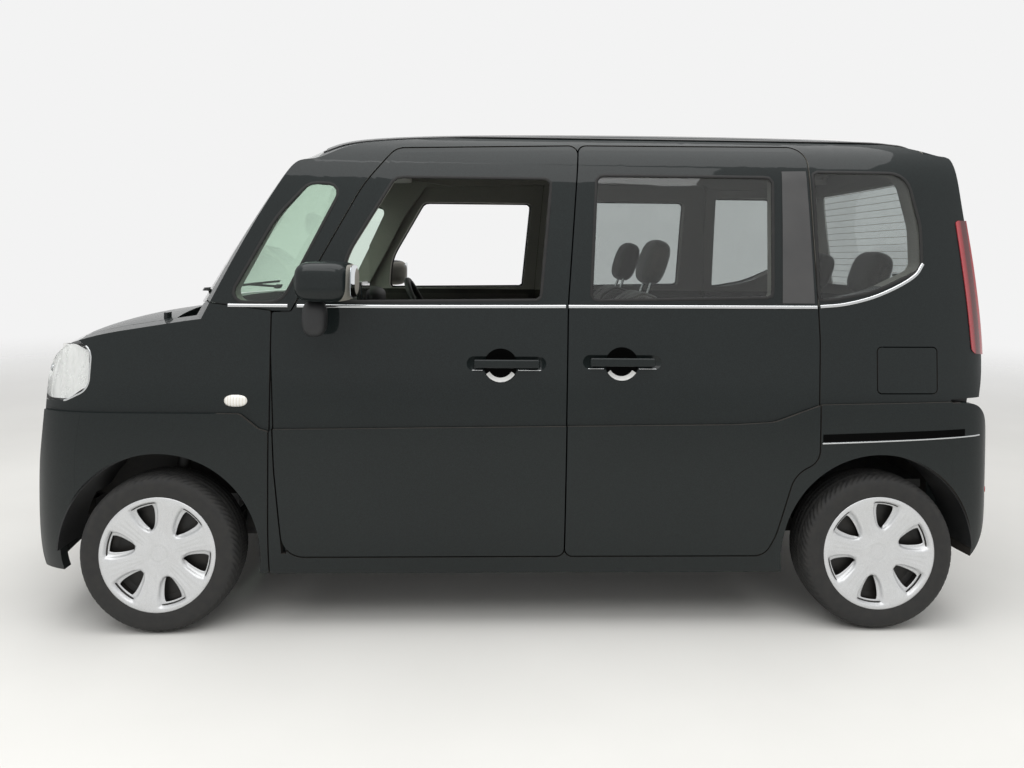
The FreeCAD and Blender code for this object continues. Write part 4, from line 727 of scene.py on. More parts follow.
def build_cover(end, side):
    """Radius by angle. Columns are bunched so that they follow the edges of the six openings, whose half-width
    grows as the square root of one less the cube of the way out; wells sink round them, and two creases
    run down each spoke."""
    r = np.concatenate([np.linspace(0.001, 27, 9)[:-1], np.linspace(27, OPEN_FROM, 12)[:-1],
                        np.linspace(OPEN_FROM, OPEN_TO, 22)[:-1], np.linspace(OPEN_TO, 194, 10)])[:, None]
    way = np.clip((r - OPEN_FROM) / (OPEN_TO - OPEN_FROM), 0, 1)
    half_open = np.clip(OPEN_HALF * np.sqrt(1 - (1 - way) ** 3) * (1 - 0.16 * way ** 10), 2.0, None)
    t = np.linspace(-1, 1, 33)[None, :-1]
    size = np.abs(t)
    angle = np.where(size <= OPEN_SHARE, size / OPEN_SHARE * half_open,
                     half_open + (size - OPEN_SHARE) / (1 - OPEN_SHARE) * (30 - half_open)) * np.sign(t)
    well = rise(half_open + 7.5 - np.abs(angle), 0, 4.5) * rise(r, 76, 90) * (1 - rise(r, 170, 182))
    off_spoke = (30 - np.abs(angle)) * np.pi / 180 * r
    crease = np.exp(-((off_spoke - (4.5 + 0.03 * r)) / 0.9) ** 2) * rise(r, 40, 60) * (1 - rise(r, 176, 184))
    flat = rise(off_spoke, 0.13 * r + 1.5, 0.13 * r + 3.5) * rise(r, 45, 70) * (1 - rise(r, 172, 184))
    height = cubic_table(COVER_DISH, r) - WELL_DEPTH * well - CREASE_DEPTH * crease - FLAT_DEPTH * flat
    centre = WHEELS[end, side]
    out = SIDES[side]
    turns = np.radians(COVER_TURN[end, side] + angle[None] + 60 * np.arange(6)[:, None, None])
    turns = turns.transpose(1, 0, 2).reshape(len(r), -1)
    proud = np.tile(height, (1, 6)) + COVER_OFF
    points = np.stack([centre[0] + r / 1000 * np.cos(turns), centre[1] + out * proud,
                       centre[2] + r / 1000 * np.sin(turns)], -1)
    rows, cols = turns.shape
    faces = quads(rows, cols, closed_cols=True)
    row, col = np.divmod(np.arange(len(faces)), cols)
    in_open = (r[row, 0] > OPEN_FROM - 0.1) & (r[row, 0] < OPEN_TO - 0.1) & (np.abs((col % 32) + 0.5 - 16) < 5)
    body = f"wheel_unit_{end}_{side}"
    cover = put(f"spoked_cover_{end}_{side}", points, faces[~in_open], "silver_lacquer", body,
                wall=0.0022)
    if cover.data.polygons[0].normal.y * out <= 0:
        cover.data.flip_normals()
    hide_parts(f"wheel_cover_{end}_{side}")


def build_nuts(end, side):
    """Four six-sided nuts and the hub cap behind the cover: a hexagon, radius by angle, with a domed end."""
    centre = np.array(WHEELS[end, side])
    out = SIDES[side]
    around = full_turn(24)
    six = 0.0095 / np.cos((around + np.pi / 6) % (np.pi / 3) - np.pi / 6)
    profile = np.array([(1.0, 0.024), (1.0, 0.038), (0.93, 0.041), (0.55, 0.044), (0.0, 0.045)])
    stud = np.stack([profile[:, :1] * six * np.cos(around), profile[:, 1:] + 0 * around,
                     profile[:, :1] * six * np.sin(around)], -1)
    turn = np.radians(45 + 90 * np.arange(4))
    seats = np.stack([0.05 * np.cos(turn), 0 * turn, 0.05 * np.sin(turn)], -1)
    nuts = stud[None] * [1, out, 1] + seats[:, None, None] + centre
    cap = turned(np.array([(0.030, 0.02), (0.030, 0.034), (0.026, 0.040), (0.0, 0.042)]), centre, 24, out)
    put_rings(f"wheel_nuts_{end}_{side}", [*nuts, cap], "zinc_plated_steel", f"wheel_unit_{end}_{side}")


class KEICAR_OT_wheels(bpy.types.Operator):
    """Makes the treaded tyres, the spoked covers and the nuts behind them"""
    bl_idname = "keicar.wheels"
    bl_label = "Wheels"

    def execute(self, context):
        for end, side in WHEELS:
            build_tyre(end, side)
            build_cover(end, side)
            build_nuts(end, side)
        return {"FINISHED"}


# Trim on the sides
BELT_RUNS = {
    "quarter": ("chassis", [(-0.9700, 1.1085), (-0.8600, 1.1085), (-0.7700, 1.1085)]),
    "front_door": ("front", [(-0.7380, 1.1085), (-0.4000, 1.1085), (0.0000, 1.1110), (0.1760, 1.1125)]),
    "sliding_door": ("chassis", [(0.1860, 1.1125), (0.5000, 1.1140), (1.0500, 1.1160)]),
    "rear_quarter": ("chassis", [(1.0610, 1.1180), (1.1500, 1.1270), (1.2500, 1.1520), (1.3400, 1.1900),
                                 (1.4050, 1.2300), (1.4350, 1.2700)]),
}
ROOF_EDGE = np.array([
    (-0.685, 0.544, 1.6514), (-0.629, 0.544, 1.6733), (-0.591, 0.544, 1.6836), (-0.531, 0.544, 1.6930),
    (-0.432, 0.544, 1.7017), (-0.332, 0.544, 1.7071), (-0.232, 0.544, 1.7110), (-0.112, 0.544, 1.7133),
    (0.400, 0.544, 1.7132), (1.028, 0.544, 1.7127), (1.288, 0.544, 1.7115), (1.388, 0.544, 1.7041),
    (1.427, 0.544, 1.6990), (1.470, 0.544, 1.6840),
])
WINDOW_RINGS = {
    "front_window": ("front", [(-0.5945, 1.123, 0.018), (0.0905, 1.133, 0.014), (0.1285, 1.557, 0.022),
                               (-0.4175, 1.557, 0.040), (-0.5845, 1.271, 0.26)]),
    "sliding_window": ("chassis", [(0.2635, 1.133, 0.018), (0.8965, 1.147, 0.018), (0.9125, 1.571, 0.022),
                                   (0.2865, 1.571, 0.024)]),
    "front_quarter": ("chassis", [(-0.9775, 1.119, 0.034), (-0.7905, 1.119, 0.07), (-0.5925, 1.530, 0.034),
                                  (-0.7145, 1.533, 0.06), (-0.8225, 1.410, 0.4)]),
    "rear_quarter": ("chassis", [(1.0585, 1.593, 0.008), (1.3975, 1.593, 0.075), (1.4355, 1.400, 0.2),
                                 (1.4315, 1.250, 0.048), (1.2525, 1.168, 0.4), (1.1085, 1.141, 0.3),
                                 (1.0585, 1.139, 0.008)]),
}


SASH = [(0.9290, 1.1290), (0.9460, 1.5930), (1.0330, 1.5950), (1.0420, 1.1290)]
# Corners, as (x, z), of the near-black panel that paints the shade in the rail's groove
RAIL_GROOVE = [(1.0630, 0.6550), (1.0630, 0.6810), (1.5690, 0.6980), (1.5690, 0.6730)]
# The line, as (x, z), of the painted highlight on the rail's lower lip
RAIL_LIP = [(1.0600, 0.6505), (1.3000, 0.6590), (1.5700, 0.6715), (1.6300, 0.6750)]
HEADLAMP_RIM = [(-1.7375, 0.7680, 0.010), (-1.5175, 0.7810, 0.040), (-1.4335, 0.8210, 0.060),
                (-1.4255, 0.9510, 0.050), (-1.4815, 0.9940, 0.030), (-1.7375, 0.9820, 0.010)]


def rider(body, side):
    """The body that a piece of trim rides on: "front" means the front door on that side."""
    return f"{side}_front_door" if body == "front" else body


def build_side_trim(side):
    """Arched strips and thin panels laid along the side skin, then the pieces that have functions of their own."""
    out = SIDES[side]
    sizes = bpy.context.scene.keicar_sizes
    for name, (body, run) in BELT_RUNS.items():
        side_strip(f"belt_moulding_{name}_{side}", smooth_line(run, 60), sizes.belt_height, sizes.belt_proud,
                   "bright_moulding", out, rider(body, side))
    for name, (body, corners) in WINDOW_RINGS.items():
        line = spaced(outline(corners), 0.02, closed=True)
        side_strip(f"window_seal_{name}_{side}", line, sizes.seal_height, 0.0016, "sponge_rubber", out,
                   rider(body, side), closed=True, shape=0.7)
    side_panel(f"sash_cover_{side}", SASH, 0.0012, "satin_black_film", out)
    build_roof_moulding(side)
    # Painted shade: a near-black panel over the rail's groove, where the groove lies in shadow
    side_panel(f"rail_groove_{side}", RAIL_GROOVE, PAD_PROUD + 0.0008, "black_flock", out)
    # Painted highlight: a thin bright strip on the rail's lower lip, which on the car is paint that mirrors the sky
    side_strip(f"rail_lip_{side}", smooth_line(RAIL_LIP, 60), 0.006, PAD_PROUD + 0.0030, "bright_moulding", out,
               "chassis", low=PAD_PROUD - 0.002)
    rim = outline(HEADLAMP_RIM, 12)
    rim = rim[(rim[:, 0] > -1.470) | ((rim[:, 0] > -1.572) & (rim[:, 1] < 0.9))]
    side_strip(f"headlamp_rim_{side}", spaced(rim, 0.01), 0.007, 0.0022, "bright_moulding", out, "chassis")
    build_reflector(side)
    build_bowls(side)
    lamp = oval_dome((-0.937, 0.788), (0.040, 0.021), 0.008, out)
    put_rings(f"side_turn_lamp_{side}", [lamp], "amber_clear_lens")


# The reflector in plan, as (x, y), and how far the nose leans back at each height
LAMP_PLAN = [(-1.619, 0.402), (-1.611, 0.450), (-1.603, 0.500), (-1.592, 0.560), (-1.580, 0.610), (-1.571, 0.638),
             (-1.556, 0.655), (-1.530, 0.668), (-1.490, 0.681), (-1.436, 0.690)]
NOSE_LEAN = np.array([(0.776, -0.012), (0.826, -0.008), (0.875, -0.001), (0.899, 0.005), (0.923, 0.014),
                      (0.945, 0.026), (0.964, 0.042), (0.980, 0.061)])
# The bowls' y and the x of the cap in each, their height and radius
LAMP_BOWLS = ((0.462, -1.598), (0.566, -1.580))
BOWL_Z, LAMP_BOWL_RADIUS = 0.880, 0.046


def build_reflector(side):
    """The plan line carried up the lamp and leant back with the nose; two bowls sink into its front as 1 - r^2, and
    its side part is rippled every 24 mm. A cap stands in each bowl."""
    out = SIDES[side]
    plan = smooth_line(LAMP_PLAN, 110)[:, None, :]
    t = np.linspace(0, 1, 48)[None, :]
    x, y = plan[..., 0], plan[..., 1]
    low = 0.786 + 0.040 * rise(x, -1.52, -1.44)
    high = 0.972 - 0.018 * rise(x, -1.49, -1.44)
    z = low + (high - low) * t
    front = 1 - rise(x, -1.575, -1.535)
    bowls = sum(np.clip(1 - ((y - c) ** 2 + (z - BOWL_Z) ** 2) / LAMP_BOWL_RADIUS ** 2, 0, 1)
                for c, _ in LAMP_BOWLS)
    ripple = 0.0005 * np.cos(x * 2 * np.pi / 0.024) * (1 - front)
    back = cubic_table(NOSE_LEAN, z) * front + 0.030 * bowls * front
    sheet = np.stack([x + back, out * (y + ripple + 0 * z), z], -1)
    put_slab(f"headlamp_reflector_{side}", sheet, (0.001, -out * 0.001, 0), "aluminised", "chassis")
    caps = [crowned((x_cap, out * c, BOWL_Z), (0.030, 0.028, 0.028), 2.2, 12, 20) for c, x_cap in LAMP_BOWLS]
    put_rings(f"headlamp_bulb_caps_{side}", caps, "polished_steel")


# Door handles: the body, x of the front end and of the hand's bowl, z of the middle line. The bowl is a ball whose
# centre line is BOWL_LINE out from the middle of the car and BOWL_DROP under the handle's middle line; the trough's
# lower edge is TROUGH_DROP under it.
HANDLES = {"front": ("front", -0.1365, -0.0460, 0.918), "sliding": ("chassis", 0.2595, 0.3690, 0.925)}
HANDLE_LENGTH = 0.222
BOWL_RADIUS, BOWL_DEPTH, BOWL_HALF = 0.082, 0.024, 0.056
BOWL_LINE = SIDE - 0.006 + BOWL_RADIUS - BOWL_DEPTH
BOWL_DROP, TROUGH_DROP = 0.006, 0.0235


def bowl_patch(hand, middle, radii, degrees, side, lift, rows=10, cols=40):
    """Part of a handle's bowl, lifted off it: rings and turns round the hand's middle, with the y of the ball,
    its centre line less the root of R^2 - r^2."""
    ring = np.linspace(*radii, rows)[:, None]
    turn = np.radians(np.linspace(*degrees, cols))[None, :]
    y = BOWL_LINE - np.sqrt((BOWL_RADIUS - lift) ** 2 - ring ** 2) + 0 * turn
    return np.stack([hand + ring * np.cos(turn), side * y, middle - BOWL_DROP + ring * np.sin(turn)], -1)


def build_bowls(side):
    """A near-black sheet in each handle's bowl as painted shade, a pale strip round its lower lip as painted highlight,
    and a bright strip along the trough's lower edge as painted highlight.
    """
    out = SIDES[side]
    for name, (body, start, hand, middle) in HANDLES.items():
        body = rider(body, side)
        # Painted shade: a near-black sheet lines the bowl behind each handle
        bowl = bowl_patch(hand, middle, (0.0005, BOWL_HALF), (0, 360), out, 0.0012, 14, 64)
        put_slab(f"handle_bowl_{name}_{side}", bowl, (0, -out * 0.0003, 0), "black_flock", body)
        # Painted highlight: a pale arc along the lower lip of the bowl
        edge = bowl_patch(hand, middle, (0.0440, 0.0575), (212, 328), out, 0.0030)
        put_slab(f"handle_scuff_edge_{name}_{side}", edge, (0, -out * 0.0004, 0), "scuff_film", body)
        # Painted highlight: thin bright strips along the trough's lower edge on both sides of the bowl
        foot = np.linspace(start - 0.006, start + HANDLE_LENGTH + 0.006, 40)
        beside = np.abs(foot - hand) > BOWL_HALF
        for end, run in (("front", foot[beside & (foot < hand)]), ("rear", foot[beside & (foot > hand)])):
            line = np.stack([run, middle - TROUGH_DROP + 0 * run], -1)
            side_strip(f"handle_trough_line_{name}_{end}_{side}", line, 0.0028, 0.0012, "bright_moulding", out, body)


def build_roof_moulding(side):
    """A half-round rubber-backed strip carried along the roof's edge: an arch across each point of the line."""
    line = smooth_line(ROOF_EDGE * [1, SIDES[side], 1], 140)
    around = np.linspace(0, np.pi, 9)
    ring = np.stack([0 * around, 0.009 * np.cos(around), 0.0055 * np.sin(around) - 0.001], -1)
    put_rings(f"roof_moulding_{side}", [line[:, None] + ring[None]], "satin_black_film")


def oval_dome(centre, size, proud, side, rings=12, turns=48, low=-0.003):
    """A dome on the side skin: rings of an oval |x/a|^2.4 + |z/b|^2.4 = s^2.4, that stands proud by the root of
    1 - s^2."""
    s = np.linspace(0, 1, rings)[:, None]
    angle = full_turn(turns)[None, :]
    reach = (np.abs(np.cos(angle)) ** 2.4 + np.abs(np.sin(angle)) ** 2.4) ** (-1 / 2.4)
    x = centre[0] + s * size[0] * reach * np.cos(angle)
    z = centre[1] + s * size[1] * reach * np.sin(angle)
    y = skin(x, z, side, low + (proud - low) * np.sqrt(np.clip(1 - s ** 2, 0, 1)))
    return np.stack([x, y, z], -1)


class KEICAR_OT_side_trim(bpy.types.Operator):
    """Makes the strips, seals and panels along the sides, the reflectors in the headlamps, and the painted shade and
    highlights in and round the handles' bowls
    """
    bl_idname = "keicar.side_trim"
    bl_label = "Side trim"

    def execute(self, context):
        for side in SIDES:
            build_side_trim(side)
        return {"FINISHED"}


# Cabin
CLOTH_STEPS = 15
BEFORE_SWELLING = 0.97
CHANNEL_DEPTH, CHANNEL_WIDTH = 0.007, 0.006


def pad_form(size, centre, lean, power=4.2):
    """A crowned pad turned back by lean degrees about its middle."""
    shape = crowned((0, 0, 0), size, power, rows=18, cols=32)
    turn = math.radians(lean)
    x = shape[..., 0] * math.cos(turn) + shape[..., 2] * math.sin(turn)
    z = -shape[..., 0] * math.sin(turn) + shape[..., 2] * math.cos(turn)
    return np.stack([x + centre[0], shape[..., 1] + centre[1], z + centre[2]], -1)


def swell(piece, voxel):
    """Lets a pad swell as cloth under pressure, with each point's move capped, then rounds it once more."""
    remesh = piece.modifiers.new("even", "REMESH")
    remesh.mode = "VOXEL"
    remesh.voxel_size = voxel
    apply_modifiers(piece)
    before = np.empty(len(piece.data.vertices) * 3)
    piece.data.vertices.foreach_get("co", before)
    cloth = piece.modifiers.new("cloth", "CLOTH")
    cloth.settings.quality = 4
    cloth.settings.use_pressure = True
    cloth.settings.uniform_pressure_force = 4
    cloth.settings.effector_weights.gravity = 0
    cloth.settings.mass = 0.4
    scene = bpy.context.scene
    for frame_number in range(1, CLOTH_STEPS + 1):
        scene.frame_set(frame_number)
    apply_modifiers(piece)
    scene.frame_set(1)
    mesh = piece.data
    after = np.empty(len(mesh.vertices) * 3)
    mesh.vertices.foreach_get("co", after)
    move = (after - before).reshape(-1, 3)
    size = np.linalg.norm(move, axis=1)[:, None] + 1e-9
    cap = scene.keicar_sizes.cloth_swell
    capped = before.reshape(-1, 3) + move * np.minimum(1, cap / size)
    mesh.vertices.foreach_set("co", capped.ravel())
    mesh.update()
    soft = piece.modifiers.new("soft", "SUBSURF")
    soft.levels = soft.render_levels = 1
    apply_modifiers(piece)
    piece.data.polygons.foreach_set("use_smooth", np.ones(len(piece.data.polygons), bool))


def apply_modifiers(piece):
    """Makes the piece's mesh what its modifiers show."""
    depsgraph = bpy.context.evaluated_depsgraph_get()
    mesh = bpy.data.meshes.new_from_object(piece.evaluated_get(depsgraph))
    piece.modifiers.clear()
    old = piece.data
    piece.data = mesh
    bpy.data.meshes.remove(old)


def sew_channels(piece, middle, half):
    """Sinks two sewn channels into a pad: points move inward along their normal by a bell curve 6 mm wide round the
    lines 0.56 of the half width from the middle."""
    mesh = piece.data
    count = len(mesh.vertices)
    co, normal = np.empty(count * 3), np.empty(count * 3)
    mesh.vertices.foreach_get("co", co)
    mesh.vertices.foreach_get("normal", normal)
    co, normal = co.reshape(-1, 3), normal.reshape(-1, 3)
    across = np.abs(co[:, 1] - middle)
    sunk = np.exp(-((across - half * 0.56) / CHANNEL_WIDTH) ** 2)
    mesh.vertices.foreach_set("co", (co - normal * CHANNEL_DEPTH * sunk[:, None]).ravel())
    mesh.update()


SEATS = (
    # name, x of the cushion's front, z of its bottom, half width, middle y, lean in degrees
    ("front_left", -0.1925, 0.500, 0.262, -0.305, 18),
    ("front_right", -0.1925, 0.500, 0.262, 0.305, 18),
    ("rear_left", 0.6775, 0.4703, 0.240, -0.260, 20),
    ("rear_right", 0.6775, 0.4703, 0.240, 0.260, 20),
)


def moved_across(first, name, across):
    """A copy of a finished pad, with its points moved across the car."""
    piece = first.copy()
    piece.data = first.data.copy()
    co = np.empty(len(piece.data.vertices) * 3)
    piece.data.vertices.foreach_get("co", co)
    co = co.reshape(-1, 3) + [0, across, 0]
    piece.data.vertices.foreach_set("co", co.ravel())
    piece.name = name
    bpy.context.scene.collection.objects.link(piece)
    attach(piece, "chassis")
    return piece


def up_the_back(lean):
    """The way up a seat's back that leans by that many degrees."""
    turn = math.radians(lean)
    return np.array([math.sin(turn), 0, math.cos(turn)])


def build_seats():
    """Cushion, back and headrest of each seat: swelled once on one side and moved across for the other."""
    made = {}
    for name, x, z, half, middle, lean in SEATS:
        row, side = name.split("_")
        up = up_the_back(lean)
        foot = np.array([x + 0.50, middle, z + 0.10])
        # size, centre, tilt in degrees, power of the crowned form, voxel size
        forms = {
            "cushion": ((0.53, 2 * half, 0.165), (x + 0.235, middle, z + 0.070), -3, 4.5, 0.014),
            "back": ((0.150, 2 * half - 0.02, 0.60), tuple(foot + up * 0.30 + [0.04, 0, 0]), lean, 4.5, 0.014),
            "headrest": ((0.095, 0.250, 0.185), tuple(foot + up * 0.70 + [0.035, 0, 0]), lean, 3.2, 0.009),
        }
        for kind, (size, centre, tilt, power, voxel) in forms.items():
            piece_name = f"seat_{kind}_{row}_{side}"
            if (row, kind) in made:
                first, first_middle = made[row, kind]
                piece = moved_across(first, piece_name, middle - first_middle)
            else:
                pad = pad_form(np.array(size) * BEFORE_SWELLING, centre, tilt, power)
                piece = put_rings(piece_name, [pad], "seat_cloth")
                swell(piece, voxel)
                if kind != "headrest":
                    sew_channels(piece, middle, half)
                made[row, kind] = piece, middle
    build_headrest_posts()
    for row in ("front", "rear"):
        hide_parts(f"{row}_seats")


def build_headrest_posts():
    """Bright posts, two circles carried up each headrest's lean."""
    around = full_turn(16)
    ring = np.stack([np.cos(around), np.sin(around), 0 * around], -1) * 0.006
    for name, x, z, _, middle, lean in SEATS:
        up = up_the_back(lean)
        foot = np.array([x + 0.54, middle, z + 0.10]) + up * 0.52
        posts = [np.stack([ring + foot + [0, offset, 0], ring + foot + up * 0.14 + [0, offset, 0]])
                 for offset in (-0.07, 0.07)]
        put_rings(f"headrest_posts_{name}", posts, "bright_moulding")


# The dashboard's section as (x, z), from the glass down to the knees, and the door trim's as (depth, z)
DASH_SECTION = [(-0.930, 1.060), (-0.850, 1.096), (-0.750, 1.102), (-0.670, 1.090), (-0.640, 1.050),
                (-0.643, 0.990), (-0.640, 0.900)]
TRIM_SECTION = [(0.000, 1.095), (0.006, 1.090), (0.004, 0.960), (0.040, 0.905), (0.046, 0.880), (0.030, 0.830),
                (0.006, 0.800), (0.008, 0.560), (0.000, 0.540)]


def build_dash():
    """Soft top pad, a section carried across the car that sags by a cosine and curves back at its ends by the
    fourth power; then the meter hood, and the screen in its case."""
    top = smooth_line(DASH_SECTION, 40)
    across = np.linspace(-0.585, 0.585, 60)
    sag = 0.006 * np.cos(across * 6)[None, :]
    x = top[:, :1] + 0.03 * (np.abs(across)[None, :] / 0.6) ** 4 * (top[:, :1] > -0.7)
    sheet = np.stack([x, across[None, :] + 0 * x, top[:, 1:] + sag], -1)
    put_slab("dash_top_pad", sheet, (-0.012, 0, -0.012), "dash_plastic")
    put_crowned("meter_hood", (-0.655, 0.330, 1.085), (0.16, 0.30, 0.11), 3.0, "dash_plastic")
    put_crowned("screen_case", (-0.628, 0.02, 1.105), (0.022, 0.235, 0.135), 9.0, "gloss_black")
    y, z = np.meshgrid(np.linspace(-0.09, 0.13, 12), np.linspace(1.050, 1.160, 8), indexing="ij")
    glass = np.stack([-0.6165 + 0 * y, y, z], -1)
    put_slab("screen_glass", glass, (-0.002, 0, 0), "screen_glass")


def build_door_trim(side):
    """The inner panel of each front and sliding door with its arm rest: a section carried along the side skin."""
    out = SIDES[side]
    section = smooth_line(TRIM_SECTION, 48)
    for name, body, x_low, x_high in (("front", "front", -0.66, 0.12), ("sliding", "chassis", 0.31, 0.93)):
        x = np.linspace(x_low, x_high, 40)[None, :] + 0 * section[:, :1]
        z = section[:, 1:] + 0 * x
        y = skin(x, z, out, -0.0615) - out * section[:, :1]
        put_slab(f"door_trim_{name}_{side}", np.stack([x, y, z], -1), (0, out * 0.0006, 0), "trim_brown",
                 rider(body, side))


def build_overhead():
    """Inner mirror on its stalk and two sun visors under the roof."""
    put_crowned("inner_mirror", (-0.600, 0.0, 1.520), (0.030, 0.230, 0.065), 4.0, "gloss_black")
    put_crowned("inner_mirror_stalk", (-0.600, 0.0, 1.580), (0.022, 0.022, 0.110), 2.4, "gloss_black",
                rows=12, cols=16)
    for side, out in SIDES.items():
        put_crowned(f"sun_visor_{side}", (-0.540, out * 0.33, 1.650), (0.16, 0.36, 0.022), 5.0, "headliner_felt")


class KEICAR_OT_cabin(bpy.types.Operator):
    """Makes the padded seats, dashboard details, door trims, visors and inner mirror"""
    bl_idname = "keicar.cabin"
    bl_label = "Cabin"

    def execute(self, context):
        build_seats()
        build_dash()
        for side in SIDES:
            build_door_trim(side)
        build_overhead()
        return {"FINISHED"}


# Mirrors, lamps and plates
def build_mirror(side):
    """The housing, a squared crowned form that sweeps forward as it goes out, its lower lobe, and the mirror glass
    facing back."""
    out = SIDES[side]
    body = f"{side}_front_door"
    housing = crowned((-0.612, out * 0.832, 1.196), (0.176, 0.170, 0.132), 3.6, 36, 56)
    housing[..., 0] -= 0.018 * (np.abs(housing[..., 1]) - 0.832) / 0.085
    shell = put_rings(f"mirror_housing_{side}", [housing], "pearl_paint", body)
    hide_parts(f"door_mirror_{side}")
    put_crowned(f"mirror_lobe_{side}", (-0.655, out * 0.815, 1.075), (0.080, 0.075, 0.120), 2.8,
                "grained_black_plastic", body)
    put_crowned(f"mirror_glass_{side}", (-0.5255, out * 0.835, 1.197), (0.004, 0.145, 0.105), 4.5, "mirror_silver",
                body)


def build_plate(name, centre, facing, body):
    """A blank pressed plate whose rim is raised by a bell curve, and two screws, each a profile turned round."""
    sizes = bpy.context.scene.keicar_sizes
    u = np.linspace(-1, 1, 45)[:, None]
    v = np.linspace(-1, 1, 29)[None, :]
    bead = np.exp(-((np.maximum(np.abs(u), 1 - (1 - np.abs(v)) / 2) - 0.955) / 0.018) ** 2)
    x = centre[0] + facing * (0.0022 * bead)
    sheet = np.stack([x + 0 * u * v, centre[1] + sizes.plate_width / 2 * u + 0 * v,
                      centre[2] + sizes.plate_height / 2 * v + 0 * u], -1)
    put_slab(f"{name}_plate", sheet, (-facing * 0.0012, 0, 0), "enamelled_plate", body)
    around = full_turn(20)
    cap = np.array([(0.0075, -0.001), (0.0075, 0.003), (0.006, 0.0045), (0.0, 0.005)])
    screws = [np.stack([centre[0] + facing * cap[:, 1:] + 0 * around,
                        centre[1] + offset + cap[:, :1] * np.cos(around),
                        centre[2] + 0.055 + cap[:, :1] * np.sin(around)], -1)
              for offset in (-0.105, 0.105)]
    put_rings(f"{name}_plate_screws", screws, "zinc_plated_steel", body)


AHEAD_OF_CAR, BEHIND_CAR = -1.9, 1.9


def touch(node, start, way):
    """Where a straight line first meets a CAD node, as x, y, z."""
    met, place, *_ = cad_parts[node].ray_cast(Vector(start), Vector(way))
    if not met:
        raise RuntimeError(f"A line from {start} passes {node} by")
    return np.array(place)


def build_front_lamps(side):
    """A round fog lamp in its dark surround, each a dome set into the bumper where a line from ahead meets it."""
    x, y, z = touch("front_bumper", (AHEAD_OF_CAR, SIDES[side] * 0.505, 0.400), (1, 0, 0))
    put_crowned(f"fog_surround_{side}", (x + 0.002, y, z), (0.020, 0.150, 0.110), 3.0, "gloss_black")
    put_crowned(f"fog_lamp_{side}", (x - 0.006, y, z), (0.020, 0.072, 0.072), 2.2, "amber_clear_lens")


def build_mouth():
    """Slats across the bumper's mouth: a profile that steps out as the root of |sin| every 36 mm of height, and
    bends back at its ends by the square."""
    z = np.linspace(0.304, 0.477, 60)[:, None]
    y = np.linspace(-0.377, 0.377, 30)[None, :]
    x = -1.640 - 0.014 * np.sqrt(np.abs(np.sin(np.pi * z / 0.036))) + 0.01 * (y / 0.377) ** 2
    put_slab("mouth_slats", np.stack([x, y + 0 * x, z + 0 * x], -1), (0.003, 0, 0), "grained_black_plastic")


def build_rear_lights():
    """The high stop lamp over the tailgate glass and a reflector low on each corner of the rear bumper."""
    x, _, z = touch("tailgate", (BEHIND_CAR, 0.0, 1.634), (-1, 0, 0))
    put_crowned("high_stop_lamp", (x - 0.002, 0.0, z), (0.024, 0.300, 0.020), 5.0, "red_acrylic", "tailgate_lid",
                24, 48)
    for side, out in SIDES.items():
        x, y, z = touch("rear_bumper", (BEHIND_CAR, out * 0.600, 0.470), (-1, 0, 0))
        put_crowned(f"rear_reflector_{side}", (x - 0.002, y, z), (0.014, 0.110, 0.034), 4.0, "red_acrylic")


def build_blanking_panel():
    """A flush painted panel over the lidless recess in the right quarter."""
    side_panel("fuel_recess_cover_right", [(1.2560, 0.8150), (1.4780, 0.8150), (1.4780, 0.9840), (1.2560, 0.9840)],
               0.0006, "pearl_paint", 1, thick=0.002)


def build_garnish():
    """The bar over the rear plate and the two small lamps under it, squared crowned forms."""
    x = touch("tailgate", (BEHIND_CAR, 0.0, 1.075), (-1, 0, 0))[0]
    put_crowned("plate_garnish", (x, 0.0, 1.075), (0.026, 0.560, 0.044), 5.0, "satin_black_film", "tailgate_lid",
                28, 64)
    for side, out in SIDES.items():
        put_crowned(f"plate_lamp_{side}", (x + 0.006, out * 0.110, 1.055), (0.012, 0.050, 0.012), 4.0,
                    "amber_clear_lens", "tailgate_lid", 16, 24)


class KEICAR_OT_fittings(bpy.types.Operator):
    """Makes the door mirrors, blank plates and their garnish, small lamps, the mouth's slats and the blanking
    panel"""
    bl_idname = "keicar.fittings"
    bl_label = "Fittings"

    def execute(self, context):
        for side in SIDES:
            build_mirror(side)
        build_plate("front", (CAD_LOW[0] - 0.0015, 0.0, 0.560), -1, "chassis")
        build_plate("rear", (1.6795, 0.0, 0.940), 1, "tailgate_lid")
        for side in SIDES:
            build_front_lamps(side)
        build_mouth()
        build_rear_lights()
        build_garnish()
        build_blanking_panel()
        return {"FINISHED"}


# Finishes of the CAD nodes, and the stage
class KEICAR_OT_finishes(bpy.types.Operator):
    """Gives every CAD node its real finish"""
    bl_idname = "keicar.finishes"
    bl_label = "Finishes"

    def execute(self, context):
        finish_nodes()
        return {"FINISHED"}


def camera_turn(yaw, roll):
    """Looks along +Y, turned by yaw about Z, with the picture rolled clockwise by roll."""
    c, s = math.cos(yaw), math.sin(yaw)
    right = np.array([c, s, 0.0])
    ahead = np.array([-s, c, 0.0])
    up = np.array([0.0, 0.0, 1.0])
    cr, sr = math.cos(roll), math.sin(roll)
    axes = np.array([cr * right + sr * up, cr * up - sr * right, -ahead])
    return Matrix(axes.T.tolist()).to_4x4()


def soft_lamp(name, size, power, place, target):
    """A rectangular area lamp at a place, turned to face a target."""
    data = bpy.data.lights.new(name, "AREA")
    data.shape = "RECTANGLE"
    data.size, data.size_y = size
    data.energy = power
    lamp = bpy.data.objects.new(name, data)
    bpy.context.scene.collection.objects.link(lamp)
    lamp.location = place
    way = np.array(target) - np.array(place)
    lamp.rotation_mode = "QUATERNION"
    lamp.rotation_quaternion = Vector(way).to_track_quat("-Z", "Y")


